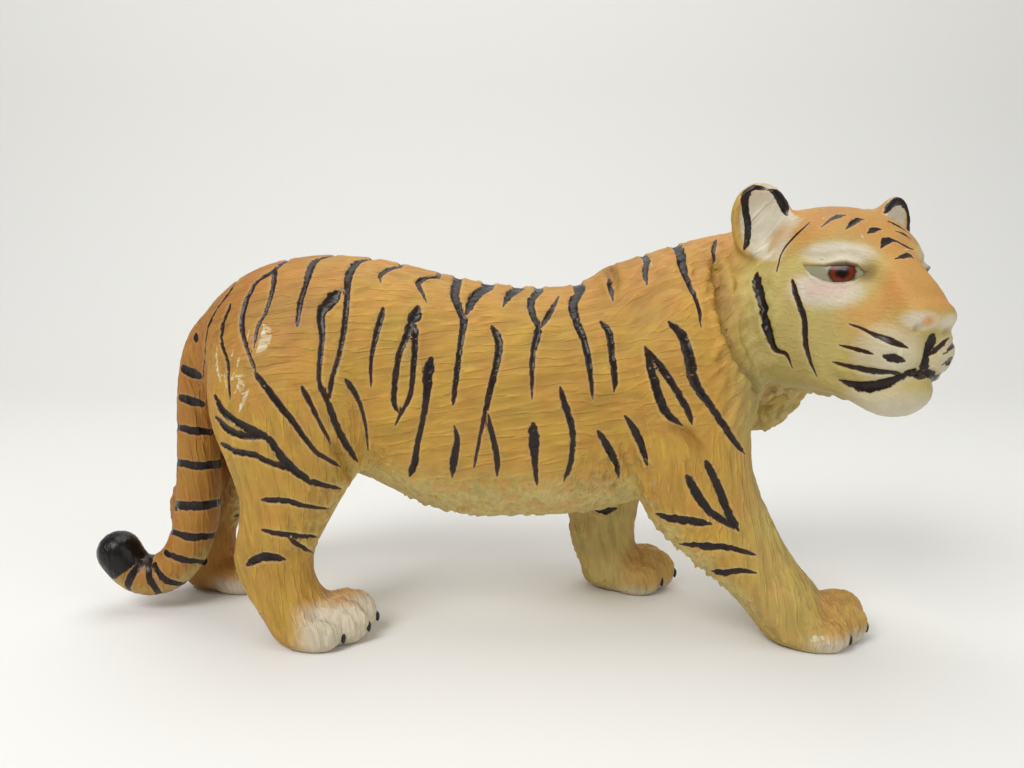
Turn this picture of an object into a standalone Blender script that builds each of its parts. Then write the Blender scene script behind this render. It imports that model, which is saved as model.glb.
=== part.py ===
"""A standing tiger figurine, moulded in one piece of soft vinyl.

+X runs to the head, +Y to the animal's left and +Z up. The soles of the four paws are flat and
stand on Z = 0, and the origin is at the middle of the outline seen from above. The animal walks
with its head turned to its right, over the near foreleg.

The form is built as a modeller builds it in clay: the trunk, limbs, neck and head are lofts and
rounded lumps, pressed together and smoothed; dents are pressed in with a thumb; the ears, eyes,
nose and toes are added on top and smoothed less; the mouth is drawn in; and the soles are then
cut flat.
"""
import math

import bmesh
import bpy
import numpy as np
from mathutils import Euler, Matrix, Vector

MM = 0.001

# Driving sizes, in millimetres and degrees.
TRUNK_SIDES = 32
LIMB_SIDES = 24
LUMP_SIDES = 28
LUMP_RINGS = 18
TAIL_BEVEL = 4
CLAY_VOXEL = 0.8
FINE_VOXEL = 0.5
CLAY_SMOOTHING = 9
FINE_SMOOTHING = 3
GROOVE_SMOOTHING = 1
TRIANGLES = 11800
WELD_DISTANCE = 1e-6
FOLD_ANGLE = 80.0
FOLD_PASSES = 8
SOLE_SUNK = 0.7
THUMB_SHARPNESS = 1.5

# The trunk: place along the body, back, belly, half width.
TRUNK = (
    (-48.6, 47.2, 38.0, 4.0),
    (-45.8, 50.4, 33.0, 8.3),
    (-40.0, 54.2, 28.0, 11.3),
    (-32.0, 55.9, 25.0, 12.6),
    (-24.0, 55.6, 22.0, 13.0),
    (-16.0, 54.0, 18.0, 13.3),
    (-8.0, 52.1, 16.1, 14.0),
    (0.0, 51.2, 16.3, 14.5),
    (7.0, 51.4, 16.6, 14.5),
    (12.0, 53.9, 17.2, 14.0),
    (17.0, 55.8, 18.5, 13.6),
    (23.0, 56.6, 20.5, 12.8),
    (29.0, 55.2, 23.5, 11.0),
    (34.0, 50.5, 29.0, 7.5),
)
TRUNK_SQUARENESS = 2.25
NECK_SQUARENESS = 2.0

# The neck: centre, half height, half width, and the way that each section faces.
NECK = (
    ((17.0, 0.0, 40.6), 15.2, 12.0, 0.0),
    ((24.0, 0.4, 42.8), 15.2, 11.6, -6.0),
    ((30.0, 1.0, 45.2), 14.0, 10.3, -20.0),
    ((36.0, 0.4, 47.0), 13.2, 9.5, -40.0),
    ((41.0, -2.0, 48.0), 12.2, 8.8, -56.0),
)

# The limbs: height of the section, back edge, front edge, middle across, half width.
NEAR_HIND_LEG = (
    (47.0, -43.0, -24.0, -5.5, 6.5),
    (41.0, -46.0, -21.5, -7.6, 7.4),
    (34.0, -46.0, -21.8, -9.0, 7.2),
    (28.5, -44.3, -23.2, -9.8, 6.6),
    (24.0, -42.4, -25.2, -10.3, 5.9),
    (20.0, -41.6, -27.6, -10.6, 5.3),
    (16.0, -42.2, -29.8, -10.8, 4.9),
    (12.5, -43.0, -31.3, -10.8, 4.6),
    (9.0, -42.0, -31.2, -10.8, 4.6),
    (6.0, -40.5, -29.3, -10.8, 4.9),
    (3.0, -38.6, -27.0, -10.8, 5.3),
    (0.0, -37.2, -26.0, -10.8, 5.4),
)
FAR_HIND_LEG = (
    (46.0, -44.0, -24.0, 5.5, 6.5),
    (40.0, -47.0, -24.5, 7.6, 7.2),
    (33.0, -50.5, -27.0, 9.2, 6.9),
    (27.0, -53.5, -32.0, 10.0, 6.2),
    (22.0, -56.2, -38.5, 10.3, 5.6),
    (18.0, -58.8, -43.2, 10.4, 5.0),
    (14.5, -60.0, -46.4, 10.5, 4.6),
    (11.0, -59.9, -48.6, 10.5, 4.4),
    (7.5, -59.2, -49.6, 10.5, 4.5),
    (4.0, -58.6, -48.5, 10.5, 4.9),
    (0.5, -57.6, -46.5, 10.5, 5.3),
)
NEAR_FORE_LEG = (
    (51.0, 15.5, 26.0, -6.0, 5.2),
    (44.0, 12.5, 30.0, -8.6, 6.6),
    (37.0, 12.3, 32.0, -9.9, 6.5),
    (31.0, 13.3, 32.0, -10.3, 6.0),
    (26.0, 14.6, 32.3, -10.5, 5.7),
    (21.5, 16.0, 33.9, -10.6, 5.4),
    (18.0, 17.6, 35.6, -10.8, 5.1),
    (14.5, 21.0, 37.4, -10.9, 4.9),
    (11.5, 24.6, 39.4, -11.0, 4.8),
    (8.5, 28.0, 42.0, -11.0, 4.9),
    (5.5, 31.0, 43.8, -11.0, 5.2),
    (2.5, 33.3, 44.5, -11.0, 5.5),
    (0.0, 35.2, 44.5, -11.0, 5.5),
)
FAR_FORE_LEG = (
    (51.0, 14.0, 25.0, 6.0, 5.2),
    (44.0, 11.0, 28.5, 8.6, 6.6),
    (37.0, 9.8, 28.0, 9.8, 6.5),
    (31.0, 8.6, 26.0, 10.2, 6.0),
    (26.0, 7.8, 23.5, 10.0, 5.6),
    (21.0, 7.2, 21.0, 10.1, 5.2),
    (16.0, 7.2, 19.4, 10.2, 4.8),
    (11.0, 7.3, 18.6, 10.2, 4.5),
    (7.5, 8.0, 18.6, 10.2, 4.6),
    (4.5, 8.9, 18.8, 10.2, 5.0),
    (1.5, 10.6, 20.0, 10.2, 5.3),
)
LIMB_SQUARENESS = 2.15

# The paws: where the longest toes end, the heel that they start from, and the outer side.
PAWS = {
    "near_hind": ((-22.2, -10.9), (-35.0, -10.8), -1),
    "far_hind": ((-41.2, 10.4), (-54.0, 10.5), 1),
    "near_fore": ((50.3, -11.2), (37.5, -11.0), -1),
    "far_fore": ((25.5, 10.2), (12.5, 10.2), 1),
}
PAW_HALF_WIDTH = 5.2
PAW_HEIGHT = 5.6

PAD_SET_BACK = 3.0
TOE_FAN = 2.4

# The toes from the outer one in: place across, how far back it ends, half width, height, length.
TOES = (
    (4.3, 4.3, 2.15, 4.7, 9.4),
    (1.75, 0.7, 2.2, 6.7, 9.0),
    (-1.55, 0.0, 2.25, 7.1, 9.2),
    (-4.2, 2.9, 2.1, 5.6, 8.6),
)

# The tail: centre and radius.
TAIL = (
    ((-43.5, 0.0, 46.0), 4.0),
    ((-47.6, 0.0, 43.3), 3.9),
    ((-49.9, 0.0, 39.0), 3.4),
    ((-50.8, 0.0, 33.0), 3.3),
    ((-51.1, 0.0, 26.0), 3.4),
    ((-51.4, 0.0, 19.5), 3.6),
    ((-52.2, 0.0, 14.0), 3.6),
    ((-53.9, 0.0, 9.5), 3.5),
    ((-56.6, 0.0, 6.3), 3.4),
    ((-60.0, 0.0, 5.3), 3.3),
    ((-63.0, 0.0, 6.6), 3.3),
    ((-64.5, 0.0, 9.3), 3.5),
)
TAIL_TIP_RADIUS = 3.7

# The head, in its own frame: X to the nose, Y to its left, Z up, the origin between the ears.
HEAD_PLACE = (44.9, -8.0, 49.5)
HEAD_TURN = -74.0
HEAD_NOD = -0.7
HEAD_TILT = -4.0

# Sections of the head along X: half of each outline, as width and height, from the crown or the
# bridge of the nose at the top to the throat or the chin at the bottom.
HEAD_SECTIONS = {
    -14.0: (
        (0.0, 8.0), (3.5, 7.6), (6.5, 5.5), (8.0, 2.0), (8.3, -1.0),
        (7.8, -4.0), (6.5, -7.0), (4.0, -9.0), (0.0, -9.8),
    ),
    -9.0: (
        (0.0, 12.0), (4.6, 11.6), (8.6, 9.2), (10.4, 4.6), (11.2, 0.0),
        (11.2, -4.5), (9.8, -9.0), (6.2, -12.0), (0.0, -12.8),
    ),
    -4.0: (
        (0.0, 13.4), (5.0, 12.8), (9.2, 10.0), (11.2, 5.0), (12.2, 0.0),
        (12.4, -5.0), (11.2, -9.8), (7.2, -12.6), (0.0, -13.4),
    ),
    0.0: (
        (0.0, 13.3), (5.0, 12.6), (8.8, 9.8), (10.8, 5.0), (11.9, 0.0),
        (12.0, -5.0), (10.6, -9.6), (7.0, -12.4), (0.0, -13.2),
    ),
    4.0: (
        (0.0, 12.1), (4.4, 11.6), (7.8, 9.0), (9.6, 4.6), (10.6, 0.2),
        (10.4, -4.6), (9.2, -9.0), (6.4, -12.2), (0.0, -13.0),
    ),
    7.0: (
        (0.0, 10.2), (3.2, 9.9), (6.4, 8.3), (7.6, 4.2), (8.6, 0.2),
        (8.8, -4.0), (8.0, -8.6), (5.8, -12.2), (0.0, -13.4),
    ),
    10.0: (
        (0.0, 7.8), (2.6, 7.5), (4.5, 5.8), (5.3, 3.2), (6.5, -0.4),
        (7.3, -3.6), (7.0, -7.8), (5.2, -12.6), (0.0, -14.4),
    ),
    12.5: (
        (0.0, 5.8), (2.6, 5.5), (3.8, 3.9), (4.4, 1.4), (5.6, -1.8),
        (6.6, -4.4), (6.2, -7.8), (4.8, -12.6), (0.0, -14.7),
    ),
    15.0: (
        (0.0, 3.9), (2.75, 3.6), (3.65, 2.1), (3.95, -0.2), (4.95, -3.0),
        (5.65, -5.4), (4.9, -8.0), (4.0, -12.2), (0.0, -14.4),
    ),
    17.0: (
        (0.0, 2.1), (2.75, 1.9), (3.65, 0.7), (3.65, -1.4), (4.05, -3.6),
        (4.35, -5.6), (3.4, -7.8), (2.6, -11.4), (0.0, -13.0),
    ),
    18.3: (
        (0.0, 0.2), (2.0, 0.0), (2.9, -0.9), (2.9, -2.4), (2.8, -4.0),
        (2.7, -5.4), (1.8, -6.8), (1.0, -8.5), (0.0, -9.0),
    ),
}

# Lumps of the head: centre, half sizes, turn about Y and turn about Z. A lump off the middle is
# made on both sides.
HEAD_LUMPS = {
    "brow": ((6.2, 4.3, 7.0), (3.8, 2.9, 1.9), 24.0, 34.0),
    "ruff": ((-4.2, 10.7, -4.6), (4.2, 3.7, 8.8), -5.0, 10.0),
    "lip_pad": ((13.4, 3.0, -5.4), (4.6, 3.6, 3.9), 8.0, 12.0),
    "chin": ((12.1, 0.0, -12.0), (4.4, 4.6, 2.9), 0.0, 0.0),
    "throat": ((-15.8, 0.0, -14.6), (11.0, 4.8, 5.0), -44.0, 0.0),
    "ear_root": ((-8.0, 8.8, 11.2), (3.0, 4.0, 3.2), 0.0, 0.0),
}

# Lumps pressed on after the clay has been smoothed.
FINE_LUMPS = {
    "nose_pad": ((17.8, 0.0, -1.2), (1.8, 4.0, 2.4), 28.0, 0.0),
    "eyeball": ((7.3, 5.7, 4.1), (1.9, 2.4, 1.8), 0.0, 46.0),
    "upper_lid": ((6.8, 5.4, 5.8), (2.2, 2.8, 0.9), 12.0, 46.0),
    "lower_lid": ((6.6, 5.6, 2.4), (2.2, 2.8, 0.8), -8.0, 46.0),
}

# Dents pressed into the head by a thumb: centre, half sizes, and the push.
DENTS = {
    "socket": ((9.8, 6.9, 4.2), (3.6, 4.0, 2.6), (-1.3, -1.0, 0.0)),
    "beside_bridge": ((13.0, 5.6, 1.6), (4.0, 2.6, 2.4), (-0.3, -0.8, 0.0)),
    "temple": ((1.0, 11.0, 7.0), (4.6, 3.4, 3.6), (0.0, -0.6, 0.0)),
    "under_nose": ((19.0, 0.0, -4.2), (2.0, 3.6, 1.3), (-0.7, 0.0, 0.0)),
    "philtrum": ((19.0, 0.0, -6.4), (3.2, 1.1, 3.0), (-1.1, 0.0, 0.0)),
}

# The mouth: a groove from the middle under the nose out to the corner, on each side of the head.
MOUTH = (
    (17.9, 0.6, -8.0),
    (17.0, 2.4, -9.2),
    (15.0, 4.2, -10.2),
    (12.6, 5.6, -11.0),
    (10.6, 6.4, -11.2),
    (9.0, 7.2, -10.4),
)
MOUTH_HALF_WIDTH = 1.3
MOUTH_DEPTH = 1.0

# The ears: a cup, as distance from its axis (a share of its half width or height) and depth.
EAR_PLACE = (-4.4, 11.5, 10.4)
EAR_HALF_WIDTH = 4.5
EAR_HALF_HEIGHT = 6.0
EAR_OUTWARD = 22.0
EAR_LEAN = 10.0
EAR_RAISED = 8.0
EAR_CUP = (
    (0.01, -3.4),
    (0.38, -3.2),
    (0.70, -2.6),
    (0.90, -1.6),
    (1.00, -0.3),
    (0.98, 0.4),
    (0.88, 0.6),
    (0.76, 0.1),
    (0.60, -0.9),
    (0.34, -1.7),
    (0.01, -1.9),
)
EAR_SIDES = 28
EAR_SQUARENESS = 2.0


def superellipse(sides, squareness):
    """Points round a unit section; squareness 2 is an ellipse, and more is boxier."""
    points = []
    for step in range(sides):
        angle = 2 * math.pi * step / sides
        across, up = math.cos(angle), math.sin(angle)
        points.append((
            math.copysign(abs(across) ** (2 / squareness), across),
            math.copysign(abs(up) ** (2 / squareness), up),
        ))
    return points


def object_of(name, form):
    """A mesh object in the scene from a bmesh, whose lengths are millimetres."""
    bmesh.ops.recalc_face_normals(form, faces=form.faces)
    mesh = bpy.data.meshes.new(name)
    form.to_mesh(mesh)
    form.free()
    mesh.transform(Matrix.Scale(MM, 4))
    made = bpy.data.objects.new(name, mesh)
    bpy.context.scene.collection.objects.link(made)
    return made


def loft(name, rings):
    """A closed skin over rings of points, with its two ends capped."""
    form = bmesh.new()
    made = [[form.verts.new(point) for point in ring] for ring in rings]
    sides = len(rings[0])
    for lower, upper in zip(made, made[1:]):
        for side in range(sides):
            after = (side + 1) % sides
            form.faces.new((lower[side], lower[after], upper[after], upper[side]))
    form.faces.new(made[0][::-1])
    form.faces.new(made[-1])
    return object_of(name, form)


def smooth_stations(stations, between=3):
    """Stations with more of them worked out between, on a smooth curve through each value."""
    table = np.array(stations, float)
    count = len(table)
    finer = []
    for step in range((count - 1) * between + 1):
        place = step / between
        first = min(int(place), count - 2)
        share = place - first
        before = table[max(first - 1, 0)]
        start, end = table[first], table[first + 1]
        after = table[min(first + 2, count - 1)]
        bend = 2 * before - 5 * start + 4 * end - after
        twist = 3 * start - before - 3 * end + after
        finer.append(0.5 * (2 * start + share * (end - before) + share**2 * bend + share**3 * twist))
    return finer


def trunk():
    rings = []
    for along, back, belly, half_width in smooth_stations(TRUNK):
        middle, half_height = (back + belly) / 2, (back - belly) / 2
        section = superellipse(TRUNK_SIDES, TRUNK_SQUARENESS)
        rings.append([(along, half_width * a, middle + half_height * u) for a, u in section])
    return loft("trunk", rings)


def head(frame):
    """The head's main form, through its sections, each of them mirrored to a whole outline."""
    stations = []
    for along, half in HEAD_SECTIONS.items():
        left = smooth_stations(half, between=3)
        right = [np.array((-wide, high)) for wide, high in left[-2:0:-1]]
        stations.append(np.array([(along, wide, high) for wide, high in left + right]).ravel())
    rings = [[frame @ Vector(point) for point in ring.reshape(-1, 3)] for ring in smooth_stations(stations)]
    return loft("head", rings)


def neck():
    stations = [(*centre, high, wide, turn) for centre, high, wide, turn in NECK]
    rings = []
    for x, y, z, high, wide, turn in smooth_stations(stations):
        side = Vector((math.sin(math.radians(-turn)), math.cos(math.radians(turn)), 0.0))
        section = superellipse(TRUNK_SIDES, NECK_SQUARENESS)
        rings.append([Vector((x, y, z)) + side * wide * a + Vector((0, 0, high * u)) for a, u in section])
    return loft("neck", rings)


def limb(name, stations):
    rings = []
    for height, rear, front, middle, half_width in smooth_stations(stations):
        centre, half_length = (rear + front) / 2, (front - rear) / 2
        section = superellipse(LIMB_SIDES, LIMB_SQUARENESS)
        rings.append([(centre + half_length * a, middle + half_width * u, height) for a, u in section])
    return loft(name, rings)


def lump(name, centre, half_sizes, tip_down=0.0, turn=0.0, frame=None):
    """An ellipsoid, its nose tipped down by one angle and turned to the left by the other."""
    form = bmesh.new()
    bmesh.ops.create_uvsphere(form, u_segments=LUMP_SIDES, v_segments=LUMP_RINGS, radius=1.0)
    spin = Euler((0.0, math.radians(tip_down), math.radians(turn))).to_matrix().to_4x4()
    place = Matrix.Translation(centre) @ spin @ Matrix.Diagonal((*half_sizes, 1.0))
    bmesh.ops.transform(form, matrix=(frame or Matrix.Identity(4)) @ place, verts=form.verts)
    return object_of(name, form)


def both_sides(name, centre, half_sizes, tip_down, turn, frame):
    """One lump in the middle, or one on each side of the head."""
    made = [lump(name, centre, half_sizes, tip_down, turn, frame)]
    if centre[1]:
        mirrored = (centre[0], -centre[1], centre[2])
        made.append(lump(name, mirrored, half_sizes, tip_down, -turn, frame))
    return made


def head_frame():
    turned = Euler((math.radians(HEAD_TILT), math.radians(HEAD_NOD), math.radians(HEAD_TURN)), "XYZ")
    return Matrix.Translation(HEAD_PLACE) @ turned.to_matrix().to_4x4()


def tail():
    """A round bar along the tail, as a curve whose radius follows the tail's."""
    curve = bpy.data.curves.new("tail", "CURVE")
    curve.dimensions = "3D"
    curve.bevel_depth = MM
    curve.bevel_resolution = TAIL_BEVEL
    curve.use_fill_caps = True
    spline = curve.splines.new("POLY")
    stations = smooth_stations([(*centre, radius) for centre, radius in TAIL])
    spline.points.add(len(stations) - 1)
    for point, (x, y, z, radius) in zip(spline.points, stations):
        point.co = (x * MM, y * MM, z * MM, 1.0)
        point.radius = radius
    bar = bpy.data.objects.new("tail", curve)
    bpy.context.scene.collection.objects.link(bar)
    made = plain_mesh_of(bar, "tail_bar")
    bpy.data.objects.remove(bar)
    tip, radius = TAIL[-1][0], TAIL_TIP_RADIUS
    return [made, lump("tail_tip", tip, (radius, radius, radius))]


def plain_mesh_of(source, name):
    """What a curve, or an object with modifiers, comes to, as a mesh with its seams welded."""
    bpy.context.view_layer.update()
    evaluated = source.evaluated_get(bpy.context.evaluated_depsgraph_get())
    mesh = bpy.data.meshes.new_from_object(evaluated)
    form = bmesh.new()
    form.from_mesh(mesh)
    bmesh.ops.remove_doubles(form, verts=form.verts, dist=WELD_DISTANCE)
    form.to_mesh(mesh)
    form.free()
    made = bpy.data.objects.new(name, mesh)
    made.matrix_world = source.matrix_world
    bpy.context.scene.collection.objects.link(made)
    return made


def pressed_together(name, pieces, voxel, smoothing):
    """One skin over all the pieces, as clay pressed together and smoothed with a thumb."""
    form = bmesh.new()
    for piece in pieces:
        form.from_mesh(piece.data)
        bpy.data.objects.remove(piece)
    mesh = bpy.data.meshes.new(name)
    form.to_mesh(mesh)
    form.free()
    rough = bpy.data.objects.new(name, mesh)
    bpy.context.scene.collection.objects.link(rough)
    skin = rough.modifiers.new("skin", "REMESH")
    skin.mode = "VOXEL"
    skin.voxel_size = voxel * MM
    thumb = rough.modifiers.new("thumb", "SMOOTH")
    thumb.factor = 0.5
    thumb.iterations = smoothing
    made = plain_mesh_of(rough, name + "_smoothed")
    bpy.data.objects.remove(rough)
    return made


def paw(name, toes_at, heel_at, outer_side):
    """The pad of a paw with its four toes side by side."""
    toes, heel = Vector((*toes_at, 0.0)), Vector((*heel_at, 0.0))
    ahead = (toes - heel).normalized()
    across = Vector((-ahead.y, ahead.x, 0.0)) * outer_side
    frame = Matrix((ahead, across, Vector((0, 0, outer_side)))).transposed().to_4x4()
    length = (toes - heel).length
    half_height = (PAW_HEIGHT + SOLE_SUNK) / 2
    middle = toes - ahead * (length / 2 + PAD_SET_BACK) + Vector((0, 0, half_height - SOLE_SUNK))
    pad_size = (length / 2, PAW_HALF_WIDTH, half_height)
    pieces = [lump(name, (0.0, 0.0, 0.0), pad_size, frame=Matrix.Translation(middle) @ frame)]
    for place, set_back, half_width, height, long in TOES:
        half_height = (height + SOLE_SUNK) / 2
        centre = toes - ahead * (set_back + long / 2) + across * place
        centre.z = half_height - SOLE_SUNK
        toe_frame = Matrix.Translation(centre) @ frame
        toe_size = (long / 2, half_width, half_height)
        pieces.append(lump(name, (0.0, 0.0, 0.0), toe_size, 0.0, place * TOE_FAN, toe_frame))
    return pieces


def ear(name, side, frame):
    """A round cupped ear, open forwards and outwards, whose foot is sunk in the head."""
    rings = []
    for share, depth in EAR_CUP:
        wide, high = share * EAR_HALF_WIDTH, share * EAR_HALF_HEIGHT
        rings.append([(depth, wide * a, high * u) for a, u in superellipse(EAR_SIDES, EAR_SQUARENESS)])
    made = loft(name, rings)
    turned = Euler((0.0, math.radians(-EAR_RAISED), math.radians(EAR_OUTWARD * side))).to_matrix().to_4x4()
    lean = Euler((math.radians(-EAR_LEAN * side), 0.0, 0.0)).to_matrix().to_4x4()
    place = Matrix.Translation((EAR_PLACE[0], EAR_PLACE[1] * side, EAR_PLACE[2]))
    scale = Matrix.Scale(MM, 4)
    made.data.transform(scale @ frame @ place @ lean @ turned @ scale.inverted())
    return made


def places_and_normals(mesh):
    count = len(mesh.vertices)
    places, normals = np.empty(count * 3), np.empty(count * 3)
    mesh.vertices.foreach_get("co", places)
    mesh.vertices.foreach_get("normal", normals)
    return places.reshape(-1, 3) / MM, normals.reshape(-1, 3)


def moved_to(mesh, places):
    mesh.vertices.foreach_set("co", (places * MM).ravel())
    mesh.update()


def dented(skin, frame):
    """Presses the dents into the skin, on both sides of the head."""
    places, _ = places_and_normals(skin.data)
    to_head = np.array(frame.inverted())
    turn = np.array(frame.to_3x3())
    local = places @ to_head[:3, :3].T + to_head[:3, 3]
    for centre, half_sizes, push in DENTS.values():
        for side in ((1.0, -1.0) if centre[1] else (1.0,)):
            mirror = np.array((1.0, side, 1.0))
            away = (local - np.array(centre) * mirror) / np.array(half_sizes)
            share = np.clip(1.0 - (away**2).sum(axis=1), 0.0, 1.0) ** THUMB_SHARPNESS
            places += share[:, None] * (turn @ (np.array(push) * mirror))
    moved_to(skin.data, places)


def distance_to_path(places, path):
    """How far each place is from a path of straight steps."""
    nearest = np.full(len(places), np.inf)
    for start, end in zip(path, path[1:]):
        step = end - start
        share = np.clip((places - start) @ step / (step @ step), 0.0, 1.0)
        nearest = np.minimum(nearest, np.linalg.norm(places - start - share[:, None] * step, axis=1))
    return nearest


def grooved(skin, path, half_width, depth):
    """Presses a round-bottomed groove into the skin along a path."""
    places, normals = places_and_normals(skin.data)
    share = np.clip(1.0 - (distance_to_path(places, path) / half_width) ** 2, 0.0, 1.0) ** THUMB_SHARPNESS
    moved_to(skin.data, places - normals * (share * depth)[:, None])


def mouth(skin, frame):
    for side in (1.0, -1.0):
        path = [np.array(frame @ Vector((x, y * side, z))) for x, y, z in MOUTH]
        grooved(skin, np.array(smooth_stations(path)), MOUTH_HALF_WIDTH, MOUTH_DEPTH)


def thinned(source, name):
    """The same skin in fewer triangles, most of them where it is most curved."""
    source.data.calc_loop_triangles()
    thin = source.modifiers.new("thin", "DECIMATE")
    thin.ratio = min(1.0, TRIANGLES / len(source.data.loop_triangles))
    made = plain_mesh_of(source, name)
    bpy.data.objects.remove(source)
    return made


def ease_folds(form):
    """Smooths the few corners where thinning has folded one triangle over another."""
    for _ in range(FOLD_PASSES):
        folded = [edge for edge in form.edges if edge.calc_face_angle() > math.radians(FOLD_ANGLE)]
        corners = list({vert for edge in folded for vert in edge.verts})
        bmesh.ops.smooth_vert(
            form, verts=corners, factor=0.5, use_axis_x=True, use_axis_y=True, use_axis_z=True)


def stand_on_soles(figure):
    """Cuts the paws flat at the floor, and brings the middle of the outline over the origin."""
    form = bmesh.new()
    form.from_mesh(figure.data)
    ease_folds(form)
    everything = form.verts[:] + form.edges[:] + form.faces[:]
    cut = bmesh.ops.bisect_plane(
        form, geom=everything, dist=1e-7, plane_co=(0, 0, 0), plane_no=(0, 0, 1), clear_inner=True)
    rim = [edge for edge in cut["geom_cut"] if isinstance(edge, bmesh.types.BMEdge)]
    bmesh.ops.holes_fill(form, edges=rim, sides=0)
    bmesh.ops.triangulate(form, faces=[face for face in form.faces if len(face.verts) > 4])
    low = [min(vert.co[axis] for vert in form.verts) for axis in range(2)]
    high = [max(vert.co[axis] for vert in form.verts) for axis in range(2)]
    bmesh.ops.translate(form, verts=form.verts, vec=(-(low[0] + high[0]) / 2, -(low[1] + high[1]) / 2, 0.0))
    bmesh.ops.recalc_face_normals(form, faces=form.faces)
    form.to_mesh(figure.data)
    form.free()
    figure.data.shade_smooth()


def vinyl():
    made = bpy.data.materials.new("painted_vinyl")
    made.use_nodes = True
    surface = made.node_tree.nodes["Principled BSDF"]
    surface.inputs["Base Color"].default_value = (0.62, 0.30, 0.07, 1.0)
    surface.inputs["Roughness"].default_value = 0.55
    surface.inputs["Metallic"].default_value = 0.0
    return made


def main():
    for old in list(bpy.data.objects):
        bpy.data.objects.remove(old)
    frame = head_frame()
    clay = [
        trunk(),
        neck(),
        limb("near_hind_leg", NEAR_HIND_LEG),
        limb("far_hind_leg", FAR_HIND_LEG),
        limb("near_fore_leg", NEAR_FORE_LEG),
        limb("far_fore_leg", FAR_FORE_LEG),
        *tail(),
        head(frame),
    ]
    for name, (centre, size, tip_down, turn) in HEAD_LUMPS.items():
        clay += both_sides(name, centre, size, tip_down, turn, frame)
    body = pressed_together("clay", clay, CLAY_VOXEL, CLAY_SMOOTHING)
    dented(body, frame)
    fine = [body]
    for name, (centre, size, tip_down, turn) in FINE_LUMPS.items():
        fine += both_sides(name, centre, size, tip_down, turn, frame)
    for name, (toes_at, heel_at, outer_side) in PAWS.items():
        fine += paw(name, toes_at, heel_at, outer_side)
    for side in (-1, 1):
        fine.append(ear("ear", side, frame))
    skin = pressed_together("fine", fine, FINE_VOXEL, FINE_SMOOTHING)
    mouth(skin, frame)
    skin = pressed_together("skin", [skin], FINE_VOXEL, GROOVE_SMOOTHING)
    figure = thinned(skin, "tiger_figurine")
    stand_on_soles(figure)
    figure.data.materials.append(vinyl())
    collection = bpy.data.collections.new("tiger_figurine")
    bpy.context.scene.collection.children.link(collection)
    bpy.context.scene.collection.objects.unlink(figure)
    collection.objects.link(figure)


main()
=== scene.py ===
import math

import bmesh
import bpy
import numpy as np
from bpy.props import FloatProperty, FloatVectorProperty, IntProperty, PointerProperty
from mathutils import Euler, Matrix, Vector
from mathutils.bvhtree import BVHTree


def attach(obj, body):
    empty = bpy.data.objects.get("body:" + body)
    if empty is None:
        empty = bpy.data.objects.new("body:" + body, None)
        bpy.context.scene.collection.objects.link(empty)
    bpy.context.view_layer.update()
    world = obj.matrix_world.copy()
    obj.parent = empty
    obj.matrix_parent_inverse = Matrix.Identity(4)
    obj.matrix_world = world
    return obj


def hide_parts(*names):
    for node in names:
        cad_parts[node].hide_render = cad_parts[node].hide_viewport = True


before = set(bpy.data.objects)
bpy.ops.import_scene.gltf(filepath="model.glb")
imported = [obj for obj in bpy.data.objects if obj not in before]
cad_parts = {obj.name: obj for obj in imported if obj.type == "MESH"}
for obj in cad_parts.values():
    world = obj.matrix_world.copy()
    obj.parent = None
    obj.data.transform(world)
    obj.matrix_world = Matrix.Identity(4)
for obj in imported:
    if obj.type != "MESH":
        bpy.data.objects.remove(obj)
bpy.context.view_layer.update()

bl_info = {
    "name": "Painted vinyl tiger",
    "version": (1, 0, 0),
    "blender": (4, 5, 0),
    "location": "3D View > Sidebar > Tiger",
    "description": "Engraved fur, sunken stripes, painted eyes and claws for the moulded tiger",
    "category": "Object",
}

SOLID = "tiger_figurine"
BODY = "root"
MM = 0.001

# The camera, as the photograph was taken: millimetres, and pixels of a 1024 by 768 picture. Places
# were measured with the spine over Y = 0, and the model stands FRAME_SHIFT away from that.
IMAGE_WIDTH = 1024
IMAGE_HEIGHT = 768
FOCAL_PIXELS = 900.0
HORIZON_ROW = 245.0
SENSOR_WIDTH = 36.0
FRAME_SHIFT = Vector((4.62, 5.13, 0.0))
CAMERA_PLACE = Vector((-2.3, -136.99, 57.4)) + FRAME_SHIFT
CAMERA_DIP = math.atan((IMAGE_HEIGHT / 2 - HORIZON_ROW) / FOCAL_PIXELS)
CAMERA_TURN = Euler((math.pi / 2 - CAMERA_DIP, 0, 0))

# The head's own frame: X to the nose, Y to the animal's left, Z up, in millimetres.
HEAD_PLACE = Vector((44.9, -8.0, 49.5)) + FRAME_SHIFT
HEAD_AXES = np.array(Euler([math.radians(turn) for turn in (-4.0, -0.7, -74.0)]).to_matrix())
SPINE_Y = FRAME_SHIFT.y

# How far the far leg stands from the near one along X, at each height.
HIND_LEG_SHIFT = (
    (7.5, -18.5), (14.5, -16.7), (18.0, -15.7), (22.0, -13.2),
    (27.0, -9.0), (33.0, -4.9), (40.0, -2.0), (47.0, 0.0),
)
FORELEG_SHIFT = (
    (7.5, -22.7), (11.0, -19.5), (16.0, -14.7), (21.0, -10.9), (26.0, -7.8),
    (31.0, -5.5), (37.0, -3.2), (44.0, -1.5), (50.0, 0.0),
)

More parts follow.
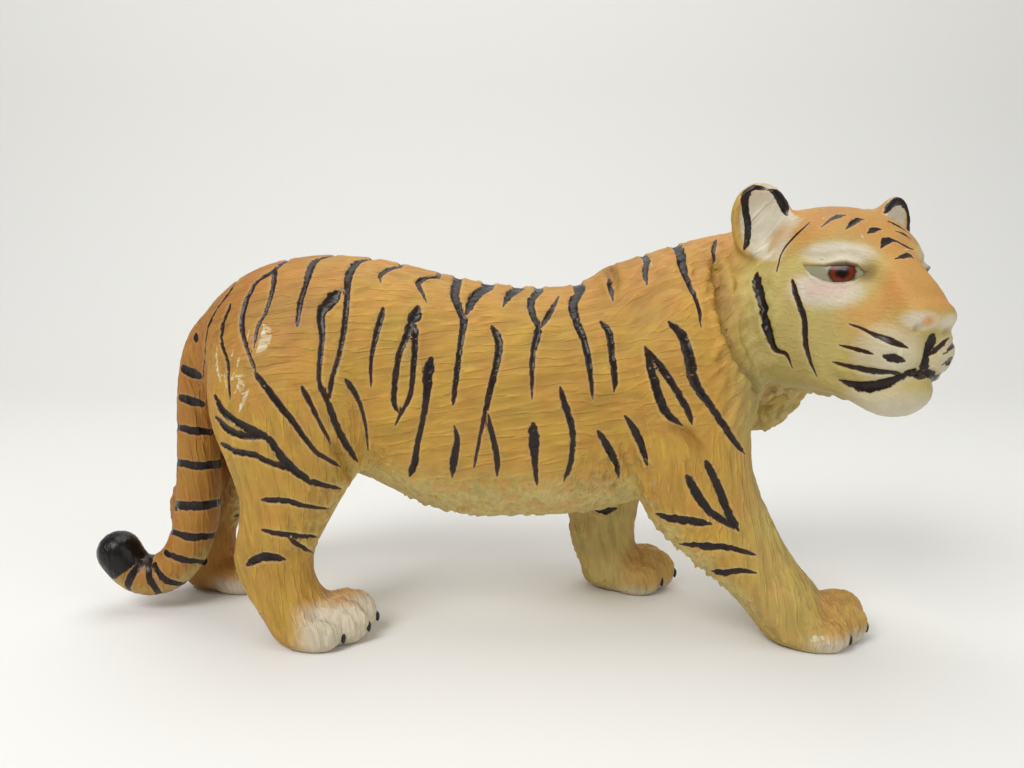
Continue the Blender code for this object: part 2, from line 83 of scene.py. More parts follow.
# Painted strokes, as column, row and width in pixels of the photograph.
OVER_BACK = (
    (
        (284, 262, 7), (271, 272, 7), (256, 283, 5), (245, 305, 6), (242, 327, 6), (247, 348, 4),
        (255, 370, 4),
    ),
    ((332, 256, 6), (314, 262, 8), (306, 283, 6), (300, 303, 6), (297, 327, 4)),
    (
        (375, 259, 7), (358, 262, 8), (349, 275, 8), (347, 296, 6), (344, 327, 6), (339, 355, 5),
        (332, 379, 5), (330, 398, 5),
    ),
    ((400, 267, 5), (386, 270, 6), (380, 276, 5), (381, 283, 2)),
    ((438, 277, 5), (425, 278, 6), (418, 283, 6), (422, 292, 4), (427, 303, 2)),
    (
        (457, 282, 9), (455, 296, 9), (462, 316, 7), (464, 320, 8), (461, 340, 6), (457, 370, 6),
        (453, 405, 5),
    ),
    ((488, 287, 13), (475, 296, 11), (466, 314, 7)),
    ((518, 289, 12), (510, 294, 9), (503, 307, 2)),
    (
        (539, 291, 9), (531, 301, 8), (533, 316, 7), (539, 327, 6), (538, 331, 8), (533, 353, 6),
        (532, 374, 5), (532, 400, 2),
    ),
    ((580, 291, 11), (573, 303, 10), (576, 320, 8), (585, 344, 7), (590, 370, 6), (593, 400, 3)),
    ((647, 261, 7), (645, 272, 6), (647, 285, 3)),
    ((681, 256, 10), (684, 272, 7), (693, 292, 6), (699, 309, 5), (701, 327, 2)),
    ((232, 288, 4), (219, 305, 5), (208, 327, 4), (205, 353, 3), (203, 381, 2)),
)
FLANK = (
    ((275, 268, 6), (273, 288, 5), (267, 309, 4), (258, 327, 4), (254, 348, 2)),
    ((231, 303, 4), (222, 327, 5), (222, 344, 4), (227, 361, 4), (229, 385, 3), (230, 402, 2)),
    (
        (339, 292, 11), (330, 301, 14), (321, 314, 9), (322, 338, 6), (319, 379, 5), (327, 400, 6),
        (336, 424, 7), (347, 446, 7), (357, 462, 4),
    ),
    ((383, 309, 7), (376, 335, 6), (371, 361, 4), (371, 387, 3)),
    (
        (418, 307, 9), (413, 320, 13), (408, 332, 8), (399, 355, 6), (395, 381, 6), (394, 403, 6),
        (399, 413, 4),
    ),
    ((414, 325, 8), (415, 338, 7), (413, 370, 6), (410, 396, 5), (401, 413, 4), (395, 426, 2)),
    (
        (431, 359, 11), (428, 374, 11), (427, 392, 8), (423, 418, 6), (417, 446, 6), (415, 461, 7),
        (410, 476, 8),
    ),
    ((454, 426, 4), (457, 440, 6), (454, 459, 8), (452, 478, 4)),
    ((492, 326, 7), (499, 344, 8), (494, 374, 7), (488, 400, 6), (481, 431, 4), (474, 468, 3)),
    ((488, 413, 3), (492, 435, 6), (497, 457, 6), (497, 476, 4)),
    ((559, 296, 3), (550, 312, 6), (541, 327, 6)),
    ((560, 387, 4), (565, 405, 7), (571, 424, 7), (573, 444, 6), (570, 465, 6), (564, 481, 4)),
    ((533, 424, 9), (534, 442, 11), (535, 463, 6), (537, 485, 4)),
    ((601, 322, 7), (609, 333, 7), (612, 357, 7), (615, 379, 6), (614, 392, 3)),
    ((598, 431, 5), (606, 444, 8), (615, 461, 7), (619, 478, 3)),
    ((625, 416, 5), (635, 431, 8), (642, 448, 8), (648, 465, 4)),
    ((645, 346, 4), (650, 366, 8), (656, 387, 9), (665, 411, 9), (682, 426, 5)),
    ((646, 348, 4), (663, 370, 8), (676, 390, 7), (687, 409, 7), (692, 424, 4)),
    (
        (669, 322, 6), (682, 335, 10), (689, 357, 11), (695, 383, 10), (713, 409, 7), (730, 435, 7),
        (745, 454, 4),
    ),
    ((610, 275, 4), (611, 288, 6), (613, 301, 3)),
    ((716, 240, 5), (713, 252, 4), (716, 264, 3)),
    ((346, 380, 7), (353, 390, 6), (361, 407, 4), (366, 429, 3), (368, 450, 2)),
)
HIND_LEG = (
    (
        (255, 373, 6), (271, 394, 7), (288, 416, 7), (301, 433, 6), (314, 450, 5), (327, 459, 5),
        (341, 467, 3),
    ),
    ((302, 387, 6), (312, 407, 5), (323, 429, 4), (333, 446, 2)),
    ((215, 396, 7), (223, 411, 8), (236, 422, 8), (254, 431, 8), (267, 436, 8)),
    (
        (216, 418, 8), (230, 431, 8), (247, 436, 8), (265, 436, 8), (275, 448, 8), (286, 463, 9),
        (310, 481, 7), (341, 489, 4),
    ),
    ((220, 443, 6), (236, 452, 7), (254, 455, 6), (271, 463, 6), (293, 470, 7), (310, 481, 7)),
    ((222, 456, 4), (232, 461, 5), (241, 465, 2)),
    ((233, 479, 4), (250, 482, 6), (264, 483, 2)),
    ((262, 500, 6), (286, 501, 6), (305, 506, 5), (330, 509, 2)),
    ((262, 530, 4), (286, 535, 6), (317, 537, 4)),
    ((288, 537, 4), (300, 546, 5), (313, 553, 3)),
    ((246, 565, 6), (264, 557, 9), (286, 560, 6)),
)
FORELEG = (
    ((656, 514, 5), (669, 518, 8), (689, 521, 9), (711, 524, 6)),
    ((680, 544, 5), (701, 546, 8), (724, 547, 7), (742, 551, 5), (756, 555, 3)),
    ((712, 571, 6), (722, 573, 8), (740, 571, 6), (757, 573, 3)),
    ((706, 462, 8), (717, 484, 8), (728, 512, 8), (739, 531, 6)),
    ((687, 476, 8), (698, 496, 9), (710, 512, 8), (724, 521, 7), (739, 530, 6)),
)
FAR_LEGS_SEEN = (
    ((595, 509, 6), (607, 511, 7), (617, 508, 4)),
    ((234, 516, 5), (242, 516, 4)),
)
TAIL_BANDS = (
    ((196, 337, 8), (197, 339, 8)),
    ((183, 369, 8), (192, 373, 10), (200, 376, 8)),
    ((181, 398, 7), (192, 401, 9), (202, 404, 6)),
    ((181, 428, 7), (195, 431, 8), (212, 432, 6)),
    ((180, 463, 7), (198, 466, 8), (219, 464, 8)),
    ((176, 505, 8), (198, 506, 9), (219, 503, 8)),
    ((173, 532, 5), (190, 537, 8), (214, 536, 6)),
    ((168, 554, 5), (184, 560, 7), (205, 562, 4)),
    ((156, 569, 5), (167, 581, 7), (187, 585, 5)),
    ((149, 564, 6), (150, 579, 7), (159, 594, 6)),
    ((141, 563, 6), (130, 579, 7), (126, 596, 5)),
)
HEAD_BOTH_SIDES = (
    (
        (757, 275, 9), (759, 291, 10), (764, 306, 9), (767, 327, 9), (775, 349, 6), (786, 354, 4),
        (792, 368, 2),
    ),
    ((792, 280, 5), (797, 299, 6), (804, 318, 6), (805, 341, 6), (810, 361, 4), (817, 377, 2)),
    ((810, 222, 2), (795, 236, 3), (782, 252, 2), (777, 272, 2)),
    ((849, 324, 2), (861, 328, 3), (871, 333, 4), (889, 340, 7), (908, 348, 4)),
    ((839, 345, 2), (855, 349, 4), (873, 354, 4)),
    ((884, 356, 7), (894, 359, 9), (904, 361, 8)),
    ((832, 362, 3), (852, 367, 5), (871, 371, 7), (902, 374, 5)),
    ((839, 380, 3), (854, 385, 9), (870, 387, 11), (889, 382, 9), (907, 374, 8), (923, 372, 9)),
    ((821, 227, 2), (830, 220, 4), (838, 216, 7), (846, 215, 3)),
    ((846, 229, 3), (854, 222, 6), (859, 219, 7), (865, 220, 2)),
)
HEAD_SEEN = (
    ((868, 233, 5), (875, 229, 8), (882, 229, 3)),
    ((881, 248, 3), (887, 240, 9), (896, 241, 4), (907, 247, 4), (914, 250, 3)),
    ((895, 259, 2), (905, 256, 6), (910, 255, 6), (914, 259, 3)),
    ((895, 231, 2), (904, 234, 5), (911, 239, 3)),
    ((818, 209, 3), (822, 210, 2)),
    ((932, 336, 12), (931, 343, 10), (928, 352, 8), (925, 361, 8), (922, 369, 10), (921, 374, 9)),
    ((949, 338, 4), (944, 342, 5), (937, 349, 5), (929, 355, 5)),
    ((915, 376, 8), (924, 377, 9)),
    ((943, 354, 3), (948, 352, 2)),
    ((942, 365, 3), (947, 362, 2)),
)
EAR_RIMS = (
    (
        (768, 190, 3), (756, 187, 5), (748, 190, 8), (745, 200, 9), (746, 214, 8), (748, 228, 8),
        (747, 240, 7), (744, 250, 5),
    ),
    ((770, 190, 5), (777, 194, 8), (781, 200, 10), (785, 210, 9), (787, 215, 5)),
    (
        (885, 212, 6), (890, 206, 8), (898, 201, 8), (908, 202, 8), (913, 210, 7), (911, 222, 7),
        (907, 232, 5),
    ),
)
WORN_PATCHES = (
    ((264, 325, 4), (267, 335, 9), (263, 345, 9), (257, 353, 4)),
    ((250, 330, 1), (246, 344, 2)),
    ((242, 353, 1), (237, 364, 2)),
    ((234, 348, 1), (231, 360, 2)),
    ((238, 366, 1), (231, 380, 2)),
    ((244, 368, 2), (236, 384, 3)),
    ((241, 381, 1), (234, 394, 2)),
    ((247, 379, 1), (241, 392, 2)),
    ((249, 388, 2), (244, 400, 3), (238, 414, 2)),
    ((217, 346, 1), (217, 366, 3), (221, 382, 1)),
    ((224, 374, 1), (227, 388, 1)),
    ((752, 186, 4), (764, 184, 5), (776, 188, 4)),
    ((862, 236, 5), (863, 238, 4)),
    ((905, 250, 3), (909, 249, 3)),
    ((822, 219, 2), (824, 218, 2)),
    ((650, 262, 3), (652, 266, 2)),
    ((645, 274, 2), (646, 280, 3)),
    ((898, 362, 3), (901, 350, 4), (905, 344, 3)),
    ((812, 640, 6), (823, 638, 8)),
    ((842, 622, 2), (845, 624, 2)),
    ((855, 628, 3), (858, 634, 4)),
)
# Folds of the skin: pressed into it, and darkened by the material with painted shade.
FOLDS = (
    ((716, 262, 10), (718, 284, 15), (722, 310, 16), (731, 343, 14), (743, 368, 11), (756, 390, 7)),
    ((670, 426, 4), (686, 434, 8), (697, 446, 8), (706, 462, 4)),
    ((352, 478, 5), (344, 462, 8), (330, 440, 5)),
    ((604, 262, 5), (612, 276, 9), (616, 292, 5)),
)

# How strokes are laid on the skin, in millimetres: how far off the camera finds the skin where a
# stroke begins, how far that may jump to the next point, and from where the skin is searched.
USUAL_REACH = 130.0
REACH_JUMP = 9.0
BESIDE = 70.0
ABOVE = 90.0
FACING_SIDE = 0.15
THINNEST = 0.1
TIP_GROWTH = 0.25
BACK_STEPS = 8
BACK_DROP = 2.0

# The far side's stripes, which a hand paints a little out of place.
STRIPE_SEED = 7
ASTRAY_ALONG = (-1.3, 1.3)
ASTRAY_UP = (-1.6, 1.0)

# Bands round the tail: how far they overlap the part that is seen, in radians, their points, and
# how far from the tail's skin a point may be.
TAIL_OVERLAP = 0.3
TAIL_STEPS = 25
TAIL_STRAY = 1.2

# The share of the depth that stripes of the head and tail have, and the half width from which a
# stripe of the cheek has all of it.
SHALLOW = 0.3
FULL_DEPTH_WIDTH = 0.55
STRIPE_EDGE = 0.25
FOLD_EDGE = 0.6

TAIL_TIP = Vector((-64.5, 0.0, 9.3)) + FRAME_SHIFT
TAIL_TIP_RADIUS = 4.2
IRIS_PIXEL = (842, 272)

# Paws: where the longest toes end, the middle across, the outer side, and how high the white of
# the toes goes.
PAWS = {
    "near_hind": (-22.2, -10.9, -1, 7.4),
    "far_hind": (-41.2, 10.4, 1, 4.0),
    "near_fore": (50.3, -11.2, -1, 3.6),
    "far_fore": (25.5, 10.2, 1, 2.6),
}

# Toes, from the outer one in: place across, how far back it ends, and its height.
TOES = ((4.3, 4.3, 4.7), (1.75, 0.7, 6.7), (-1.55, 0.0, 7.1), (-4.2, 2.9, 5.6))
CLEFT_BACK = 2.5
CLEFT_HEIGHT = 3.4
CLEFT_HALF_SIZES = (4.5, 0.75, 5.0)
CLEFT_PUSH = (-0.8, 0, -0.35)

# Claws: how high on the toe they stand, where the search for the toe's end starts and how far it
# goes, how far they stand off, and the way that they point.
CLAW_HEIGHT = 0.36
CLAW_SEARCH = 5
CLAW_SEARCH_END = 9
CLAW_OFF = Vector((0.1, 0, 0.1))
CLAW_WAY = (0.3, 0.06, -0.95)

# The solid is remade in even cells of this size before anything is laid on it.
CLAY_GRAIN = 0.5
CLAY_SMOOTHING = 2

# The studio, in metres: a floor that curves up into a wall, and soft lamps with their places, sizes
# and watts.
FLOOR_HALF_WIDTH = 0.9
FLOOR_FRONT = -0.6
FLOOR_BACK = 0.22
FLOOR_CURVE = 0.14
WALL_TOP = 0.9
LAMPS = (
    ("key_lamp", (-0.25, -0.35, 0.45), 0.30, 2.4),
    ("fill_lamp", (0.40, -0.30, 0.25), 0.35, 0.6),
    ("top_lamp", (0.0, 0.10, 0.55), 0.40, 1.2),
)
LAMP_AIM = Vector((0, 0, 0.03))
ROOM_COLOUR = "#eef0f2"
ROOM_STRENGTH = 0.34
# The eye's paint: a ring of painted shade round the iris, a white darkened with painted shade, and
# the black pupil.
EYE_SHADE = "#5d5c46"
SHADED_EYE_WHITE = "#8d8a70"
PUPIL = (0.004, 0.003, 0.003, 1)


def linear(hex_colour):
    """An sRGB hex value as a linear colour."""
    channels = [int(hex_colour[i:i + 2], 16) / 255 for i in (1, 3, 5)]
    return tuple(c / 12.92 if c <= 0.04045 else ((c + 0.055) / 1.055) ** 2.4 for c in channels)


def paint(name, hex_colour, description):
    """A colour that a user can change."""
    return FloatVectorProperty(
        name=name, description=description, default=linear(hex_colour),
        subtype="COLOR", size=3, min=0, max=1,
    )


def length(name, millimetres, description):
    """A length that a user can change."""
    return FloatProperty(
        name=name, description=description, default=millimetres * MM,
        unit="LENGTH", subtype="DISTANCE", precision=5,
    )


class TigerFormSettings(bpy.types.PropertyGroup):
    """Sizes of the moulded detail."""

    voxel: length("Skin grain", 0.31, "Size of the cells that the skin is remade with")
    triangles: IntProperty(
        name="Skin triangles", description="Triangles of the skin before the face is refined",
        default=162000,
    )
    stripe_depth: length(
        "Stripe depth", 0.32, "How deep a stripe of the body is sunk into the skin",
    )
    fold_depth: length("Fold depth", 1.0, "How deep the folds of the skin are")
    hair_depth: length("Hair depth", 0.24, "How deep the engraved hair is cut")
    hair_spacing: length("Hair spacing", 1.0, "Distance between engraved hairs")
    lock_length: length("Lock length", 2.6, "Length of a lock of fur on the belly and throat")
    lock_spacing: length("Lock spacing", 1.25, "Least distance between two locks")
    claw_length: length("Claw length", 1.7, "Length of a claw")


class TigerPaintSettings(bpy.types.PropertyGroup):
    """Colours of the paint."""

    flank: paint("Flank", "#b48b39", "Ochre of the sides and legs")
    back: paint("Back", "#c28f48", "Orange of the back, crown and bridge of the nose")
    rump: paint("Rump", "#a0692a", "Darker orange of the rump and tail")
    belly: paint("Belly", "#c6b370", "Cream of the belly, chest and inner legs")
    cheek: paint("Cheek", "#b5a360", "Pale yellow of the cheeks and ruff")
    white: paint(
        "White", "#d0c6ae", "White round the eyes, of the lips, the toes and inside the ears",
    )
    stripe: paint("Stripe", "#0e0a08", "Black of the stripes")
    thin_stripe: paint("Thin stripe", "#3c2010", "Brown where the stripe's paint is thin")
    lid_skin: paint("Lid", "#c9aa9a", "Pinkish paint below the eyes")
    # The hollow colour is painted shade in the inner corners of the eyes and along their lids.
    hollow: paint("Hollow", "#5a4524", "Dark wash in the corners and along the lids of the eyes")
    vinyl: paint("Bare vinyl", "#d2cbab", "Pale vinyl where the paint has worn off")
    iris: paint("Iris", "#63220a", "Red-brown of the iris")
    floor: paint("Floor", "#e6e5e1", "Pale floor")


def add(tree, kind, links=None, values=None, **settings):
    """Adds a node with its settings, the values of its sockets and what is linked to them."""
    node = tree.nodes.new(kind)
    for name, value in settings.items():
        setattr(node, name, value)
    for socket, value in (values or {}).items():
        node.inputs[socket].default_value = value
    for socket, source in (links or {}).items():
        tree.links.new(source, node.inputs[socket])
    return node


def places_of(mesh):
    """Places in millimetres and normals of a mesh's vertices."""
    places = np.empty(len(mesh.vertices) * 3)
    mesh.vertices.foreach_get("co", places)
    normals = np.empty(len(mesh.vertices) * 3)
    mesh.vertices.foreach_get("normal", normals)
    return places.reshape(-1, 3) / MM, normals.reshape(-1, 3)


def move_to(mesh, places):
    """Moves a mesh's vertices to places in millimetres."""
    mesh.vertices.foreach_set("co", (places * MM).ravel())
    mesh.update()


def keep(mesh, name, values, kind="FLOAT"):
    """Stores one value for each vertex under a name."""
    if name in mesh.attributes:
        mesh.attributes.remove(mesh.attributes[name])
    layer = mesh.attributes.new(name, kind, "POINT")
    field = {"FLOAT": "value", "FLOAT_VECTOR": "vector", "FLOAT_COLOR": "color"}[kind]
    layer.data.foreach_set(field, np.ascontiguousarray(values, dtype=np.float32).ravel())


def rise(values, low, high):
    """A smooth step from 0 at low to 1 at high, or down where high is below low."""
    share = np.clip((values - low) / (high - low), 0, 1)
    return share * share * (3 - 2 * share)


def in_head(places):
    """Places in the head's own frame."""
    return (places - np.array(HEAD_PLACE)) @ HEAD_AXES


def from_head(point):
    """A place in the head's frame, in the model's frame."""
    return Vector(HEAD_AXES @ np.array(point)) + HEAD_PLACE


def blob(places, centre, half_sizes):
    """A soft spot: 1 at its centre and 0 at its edge."""
    reach = np.sum(((places - np.array(centre)) / np.array(half_sizes)) ** 2, axis=1)
    return np.clip(1 - reach, 0, 1) ** 2


def link(name, mesh):
    """A new object in the scene."""
    made = bpy.data.objects.new(name, mesh)
    bpy.context.scene.collection.objects.link(made)
    return made


def settle(obj):
    """Makes an object with live modifiers a plain mesh and removes the modifiers."""
    depsgraph = bpy.context.evaluated_depsgraph_get()
    plain = bpy.data.meshes.new_from_object(
        obj.evaluated_get(depsgraph), preserve_all_data_layers=True, depsgraph=depsgraph
    )
    obj.modifiers.clear()
    obj.data = plain
    return obj


def remade(obj, voxel, smoothing):
    """Remakes a skin from even cells and smooths it."""
    remesh = obj.modifiers.new("Cells", "REMESH")
    remesh.mode = "VOXEL"
    remesh.voxel_size = voxel
    smooth = obj.modifiers.new("Smoothing", "SMOOTH")
    smooth.factor = 0.5
    smooth.iterations = smoothing
    return settle(obj)


def use_tree(obj, tree, inputs):
    """Puts a geometry tree on an object with its inputs set, and makes the result plain."""
    modifier = obj.modifiers.new(tree.name, "NODES")
    modifier.node_group = tree
    for socket in tree.interface.items_tree:
        if socket.item_type == "SOCKET" and socket.in_out == "INPUT" and socket.name in inputs:
            modifier[socket.identifier] = inputs[socket.name]
    return settle(obj)


def new_tree(name, inputs):
    """A geometry tree with a mesh in and out and named inputs."""
    tree = bpy.data.node_groups.new(name, "GeometryNodeTree")
    tree.interface.new_socket("Geometry", in_out="INPUT", socket_type="NodeSocketGeometry")
    for label, kind in inputs.items():
        tree.interface.new_socket(label, in_out="INPUT", socket_type=kind)
    tree.interface.new_socket("Geometry", in_out="OUTPUT", socket_type="NodeSocketGeometry")
    return tree, add(tree, "NodeGroupInput"), add(tree, "NodeGroupOutput")


def smooth_line(points, step=2.5):
    """A curve through the given points, with a point about every step pixels."""
    knots = [np.array(p, float) for p in points]
    knots = [2 * knots[0] - knots[1], *knots, 2 * knots[-1] - knots[-2]]
    line = []
    for a, b, c, d in zip(knots, knots[1:], knots[2:], knots[3:]):
        pieces = max(1, int(np.linalg.norm(c[:2] - b[:2]) / step))
        for i in range(pieces):
            t = i / pieces
            straight = 2 * b + (c - a) * t
            bent = (2 * a - 5 * b + 4 * c - d) * t * t
            line.append(0.5 * (straight + bent + (3 * b - a - 3 * c + d) * t ** 3))
    line.append(knots[-2])
    return line


def sight_line(column, row):
    """The way that the camera looks at a pixel."""
    right = (column - IMAGE_WIDTH / 2) / FOCAL_PIXELS
    up = (IMAGE_HEIGHT / 2 - row) / FOCAL_PIXELS
    aim = Vector((right, up, -1))
    aim.rotate(CAMERA_TURN)
    return aim.normalized()


class Skin:
    """Finds places on the skin, in millimetres."""

    def __init__(self, mesh):
        places, _ = places_of(mesh)
        faces = [tuple(face.vertices) for face in mesh.polygons]
        self.tree = BVHTree.FromPolygons([tuple(p) for p in places], faces)

    def seen_at(self, column, row, reach=None):
        """The place that the camera sees at a pixel, and how far off it is."""
        aim = sight_line(column, row)
        place, _, _, distance = self.tree.ray_cast(CAMERA_PLACE, aim)
        if place is None or (reach and abs(distance - reach) > REACH_JUMP):
            place = self.tree.find_nearest(CAMERA_PLACE + aim * (reach or USUAL_REACH))[0]
            distance = (place - CAMERA_PLACE).length
        return place, distance

    def across(self, place):
        """The place on the far side at the same length and height."""
        start = Vector((place.x, BESIDE, place.z))
        far, normal, _, _ = self.tree.ray_cast(start, Vector((0, -1, 0)))
        if far is None or normal.y < FACING_SIDE:
            far = self.tree.find_nearest(Vector((place.x, 2 * SPINE_Y - place.y, place.z)))[0]
        return far

    def nearest(self, place):
        """The place on the skin that is nearest to another place."""
        return self.tree.find_nearest(place)[0]

    def back_at(self, x, y):
        """The top of the back at a place."""
        return self.tree.ray_cast(Vector((x, y, ABOVE)), Vector((0, 0, -1)))[0]


def on_skin(skin, points, start=0.5, end=0.4):
    """A stroke of the photograph laid on the skin: places and half widths, in millimetres.

    Start and end are the shares of its width that its two tips have.
    """
    stroke = []
    reach = None
    line = smooth_line(points)
    for i, (column, row, width) in enumerate(line):
        place, reach = skin.seen_at(column, row, reach)
        tip = min(1, start + TIP_GROWTH * i, end + TIP_GROWTH * (len(line) - 1 - i))
        stroke.append((place, max(THINNEST, tip * width / 2 * reach / FOCAL_PIXELS)))
    return stroke


def over_the_back(skin, stroke):
    """Adds the part of a stroke that runs up over the spine, which the camera sees edge on."""
    first, half_width = stroke[0]
    added = []
    for i in range(BACK_STEPS):
        y = SPINE_Y + (first.y - SPINE_Y) * i / BACK_STEPS
        top = skin.back_at(first.x, y)
        if top is not None and top.z > first.z - BACK_DROP:
            added.append((top, half_width))
    return added + stroke


def far_copy(skin, stroke, shift, dice, joined):
    """A stroke's like on the far side, a little out of place as a hand paints it."""
    move_x, move_z = dice.uniform(*ASTRAY_ALONG), dice.uniform(*ASTRAY_UP)
    copied = []
    for i, (place, half_width) in enumerate(stroke):
        share = min(1, i / (0.5 * len(stroke))) if joined else 1
        along = np.interp(place.z, [s[0] for s in shift], [s[1] for s in shift]) if shift else 0
        target = Vector((place.x + along + move_x * share, place.y, place.z + move_z * share))
        copied.append((skin.across(target), half_width))
    return copied


def head_copy(skin, stroke):
    """A stroke's like on the other side of the head."""
    copied = []
    for place, half_width in stroke:
        x, y, z = in_head(np.array(place)[None])[0]
        copied.append((skin.nearest(from_head((x, -y, z))), half_width))
    return copied


def round_tail(skin, stroke):
    """A band seen on the tail, and the part of it that goes round the far side."""
    first, last = stroke[0][0], stroke[-1][0]
    along = (last - first) / 2
    middle = (first + last) / 2
    middle.y = SPINE_Y
    half_width = float(np.mean([w for _, w in stroke]))
    strokes, behind = [stroke], []
    for angle in np.linspace(-TAIL_OVERLAP, math.pi + TAIL_OVERLAP, TAIL_STEPS):
        aim = middle - along * math.cos(angle) + Vector((0, along.length * math.sin(angle), 0))
        place = skin.nearest(aim)
        if (place - aim).length < TAIL_STRAY:
            behind.append((place, half_width))
    if len(behind) > 1:
        strokes.append(behind)
    return strokes


def all_stripes(skin, depth):
    """Every painted stripe, on both sides, with how deep it is sunk."""
    dice = np.random.default_rng(STRIPE_SEED)
    strokes = []
    for points in OVER_BACK:
        stroke = over_the_back(skin, on_skin(skin, points, start=1))
        strokes += [(stroke, depth), (far_copy(skin, stroke, None, dice, True), depth)]
    for table, shift in ((FLANK, None), (HIND_LEG, HIND_LEG_SHIFT), (FORELEG, FORELEG_SHIFT)):
        for points in table:
            stroke = on_skin(skin, points)
            strokes += [(stroke, depth), (far_copy(skin, stroke, shift, dice, False), depth)]
    for points in FAR_LEGS_SEEN:
        strokes.append((on_skin(skin, points), depth))
    for points in HEAD_SEEN + EAR_RIMS:
        strokes.append((on_skin(skin, points), depth * SHALLOW))
    for points in TAIL_BANDS:
        seen = on_skin(skin, points, start=1, end=1)
        strokes += [(band, depth * SHALLOW) for band in round_tail(skin, seen)]
    for points in HEAD_BOTH_SIDES:
        stroke = on_skin(skin, points)
        sunk = depth * min(1, stroke[len(stroke) // 2][1] / FULL_DEPTH_WIDTH)
        strokes += [(stroke, sunk), (head_copy(skin, stroke), sunk)]
    return strokes


def laid_on(skin, strokes):
    """The same strokes, brought onto a skin that has moved a little."""
    return [
        ([(skin.nearest(place), width) for place, width in stroke], depth)
        for stroke, depth in strokes
    ]


def stroke_lines(name, strokes):
    """An object of edges along the strokes that carries their half widths and depths."""
    places, edges, widths, depths = [], [], [], []
    for stroke, depth in strokes:
        first = len(places)
        places += [tuple(p * MM) for p, _ in stroke]
        widths += [w * MM for _, w in stroke]
        depths += [depth * min(1, 0.25 + w) for _, w in stroke]
        edges += [(i, i + 1) for i in range(first, len(places) - 1)]
    mesh = bpy.data.meshes.new(name)
    mesh.from_pydata(places, edges, [])
    keep(mesh, "half_width", widths)
    keep(mesh, "sink", depths)
    return link(name, mesh)


def stroke_tree(name, label):
    """A geometry tree that sinks strokes into the skin and stores how near each of them is."""
    tree, start, end = new_tree(
        name, {"Strokes": "NodeSocketObject", "Depth": "NodeSocketFloat", "Edge": "NodeSocketFloat"}
    )
    lines = add(tree, "GeometryNodeObjectInfo", {"Object": start.outputs["Strokes"]})
    near = add(
        tree, "GeometryNodeProximity", {0: lines.outputs["Geometry"]}, target_element="EDGES",
    )
    point = add(tree, "GeometryNodeSampleNearest", {"Geometry": lines.outputs["Geometry"]})
    sampled = []
    for attribute in ("half_width", "sink"):
        value = add(tree, "GeometryNodeInputNamedAttribute", values={"Name": attribute})
        sampled.append(add(tree, "GeometryNodeSampleIndex", {
            "Geometry": lines.outputs["Geometry"], "Value": value.outputs["Attribute"],
            "Index": point.outputs["Index"],
        }))
    half, sink = sampled
    edge = add(
        tree, "ShaderNodeMath", {0: near.outputs["Distance"], 1: half.outputs["Value"]},
        operation="SUBTRACT",
    )
    geometry = start.outputs["Geometry"]
    for suffix, kind, value in (
        ("near", "FLOAT_VECTOR", near.outputs["Position"]),
        ("half", "FLOAT", half.outputs["Value"]),
        ("edge", "FLOAT", edge.outputs["Value"]),
    ):
        stored = add(tree, "GeometryNodeStoreNamedAttribute", {
            "Geometry": geometry, "Value": value,
        },
                     {"Name": f"{label}_{suffix}"}, data_type=kind)
        geometry = stored.outputs["Geometry"]

    def ramp(low, high):
        """A smooth step of the distance from the stroke's edge, between two multiples of Edge."""
        ends = [
            add(tree, "ShaderNodeMath", {0: start.outputs["Edge"]}, {1: k}, operation="MULTIPLY")
            for k in (low, high)
        ]
        return add(tree, "ShaderNodeMapRange", {
            "Value": edge.outputs["Value"], "From Min": ends[0].outputs["Value"],
            "From Max": ends[1].outputs["Value"],
        }, interpolation_type="SMOOTHSTEP").outputs["Result"]

    rim = add(tree, "ShaderNodeMath", {0: ramp(0.4, 1.4), 1: ramp(3.4, 1.4)}, operation="MULTIPLY")
    raised = add(tree, "ShaderNodeMath", {0: rim.outputs["Value"]}, {1: 0.3}, operation="MULTIPLY")
    share = add(
        tree, "ShaderNodeMath", {0: raised.outputs["Value"], 1: ramp(0.6, -1.0)},
        operation="SUBTRACT",
    )
    height = add(
        tree, "ShaderNodeMath", {0: share.outputs["Value"], 1: sink.outputs["Value"]},
        operation="MULTIPLY",
    )
    moved_by = add(
        tree, "ShaderNodeMath", {0: height.outputs["Value"], 1: start.outputs["Depth"]},
        operation="MULTIPLY",
    )
    normal = add(tree, "GeometryNodeInputNormal")
    offset = add(
        tree, "ShaderNodeVectorMath", {0: normal.outputs[0], "Scale": moved_by.outputs["Value"]},
        operation="SCALE",
    )
    moved = add(
        tree, "GeometryNodeSetPosition", {"Geometry": geometry, "Offset": offset.outputs["Vector"]},
    )
    tree.links.new(moved.outputs["Geometry"], end.inputs["Geometry"])
    return tree


# The way that hair lies on each part: its direction, how many times longer than wide it is, its
# width against the spacing, and how deep it is cut. The finest hair of such a mould is too fine to
# show at this size, so it is drawn coarser than it is.
HAIR = {
    "trunk": ((0.97, 0.0, 0.22), 6.0, 1.0, 0.8),
    "limb": ((0.2, 0.0, -0.98), 6.0, 0.8, 0.9),
    "neck": ((0.62, 0.0, 0.78), 6.0, 1.2, 0.9),
    "ruff": ((0.51, -0.3, 0.8), 3.5, 2.1, 2.2),
    "head": ((0.35, -0.75, 0.45), 3.5, 0.55, 0.18),
}


def hair_turn(way):
    """The turn that brings X onto the way that hair lies."""
    return Vector(way).to_track_quat("X", "Z").to_euler()


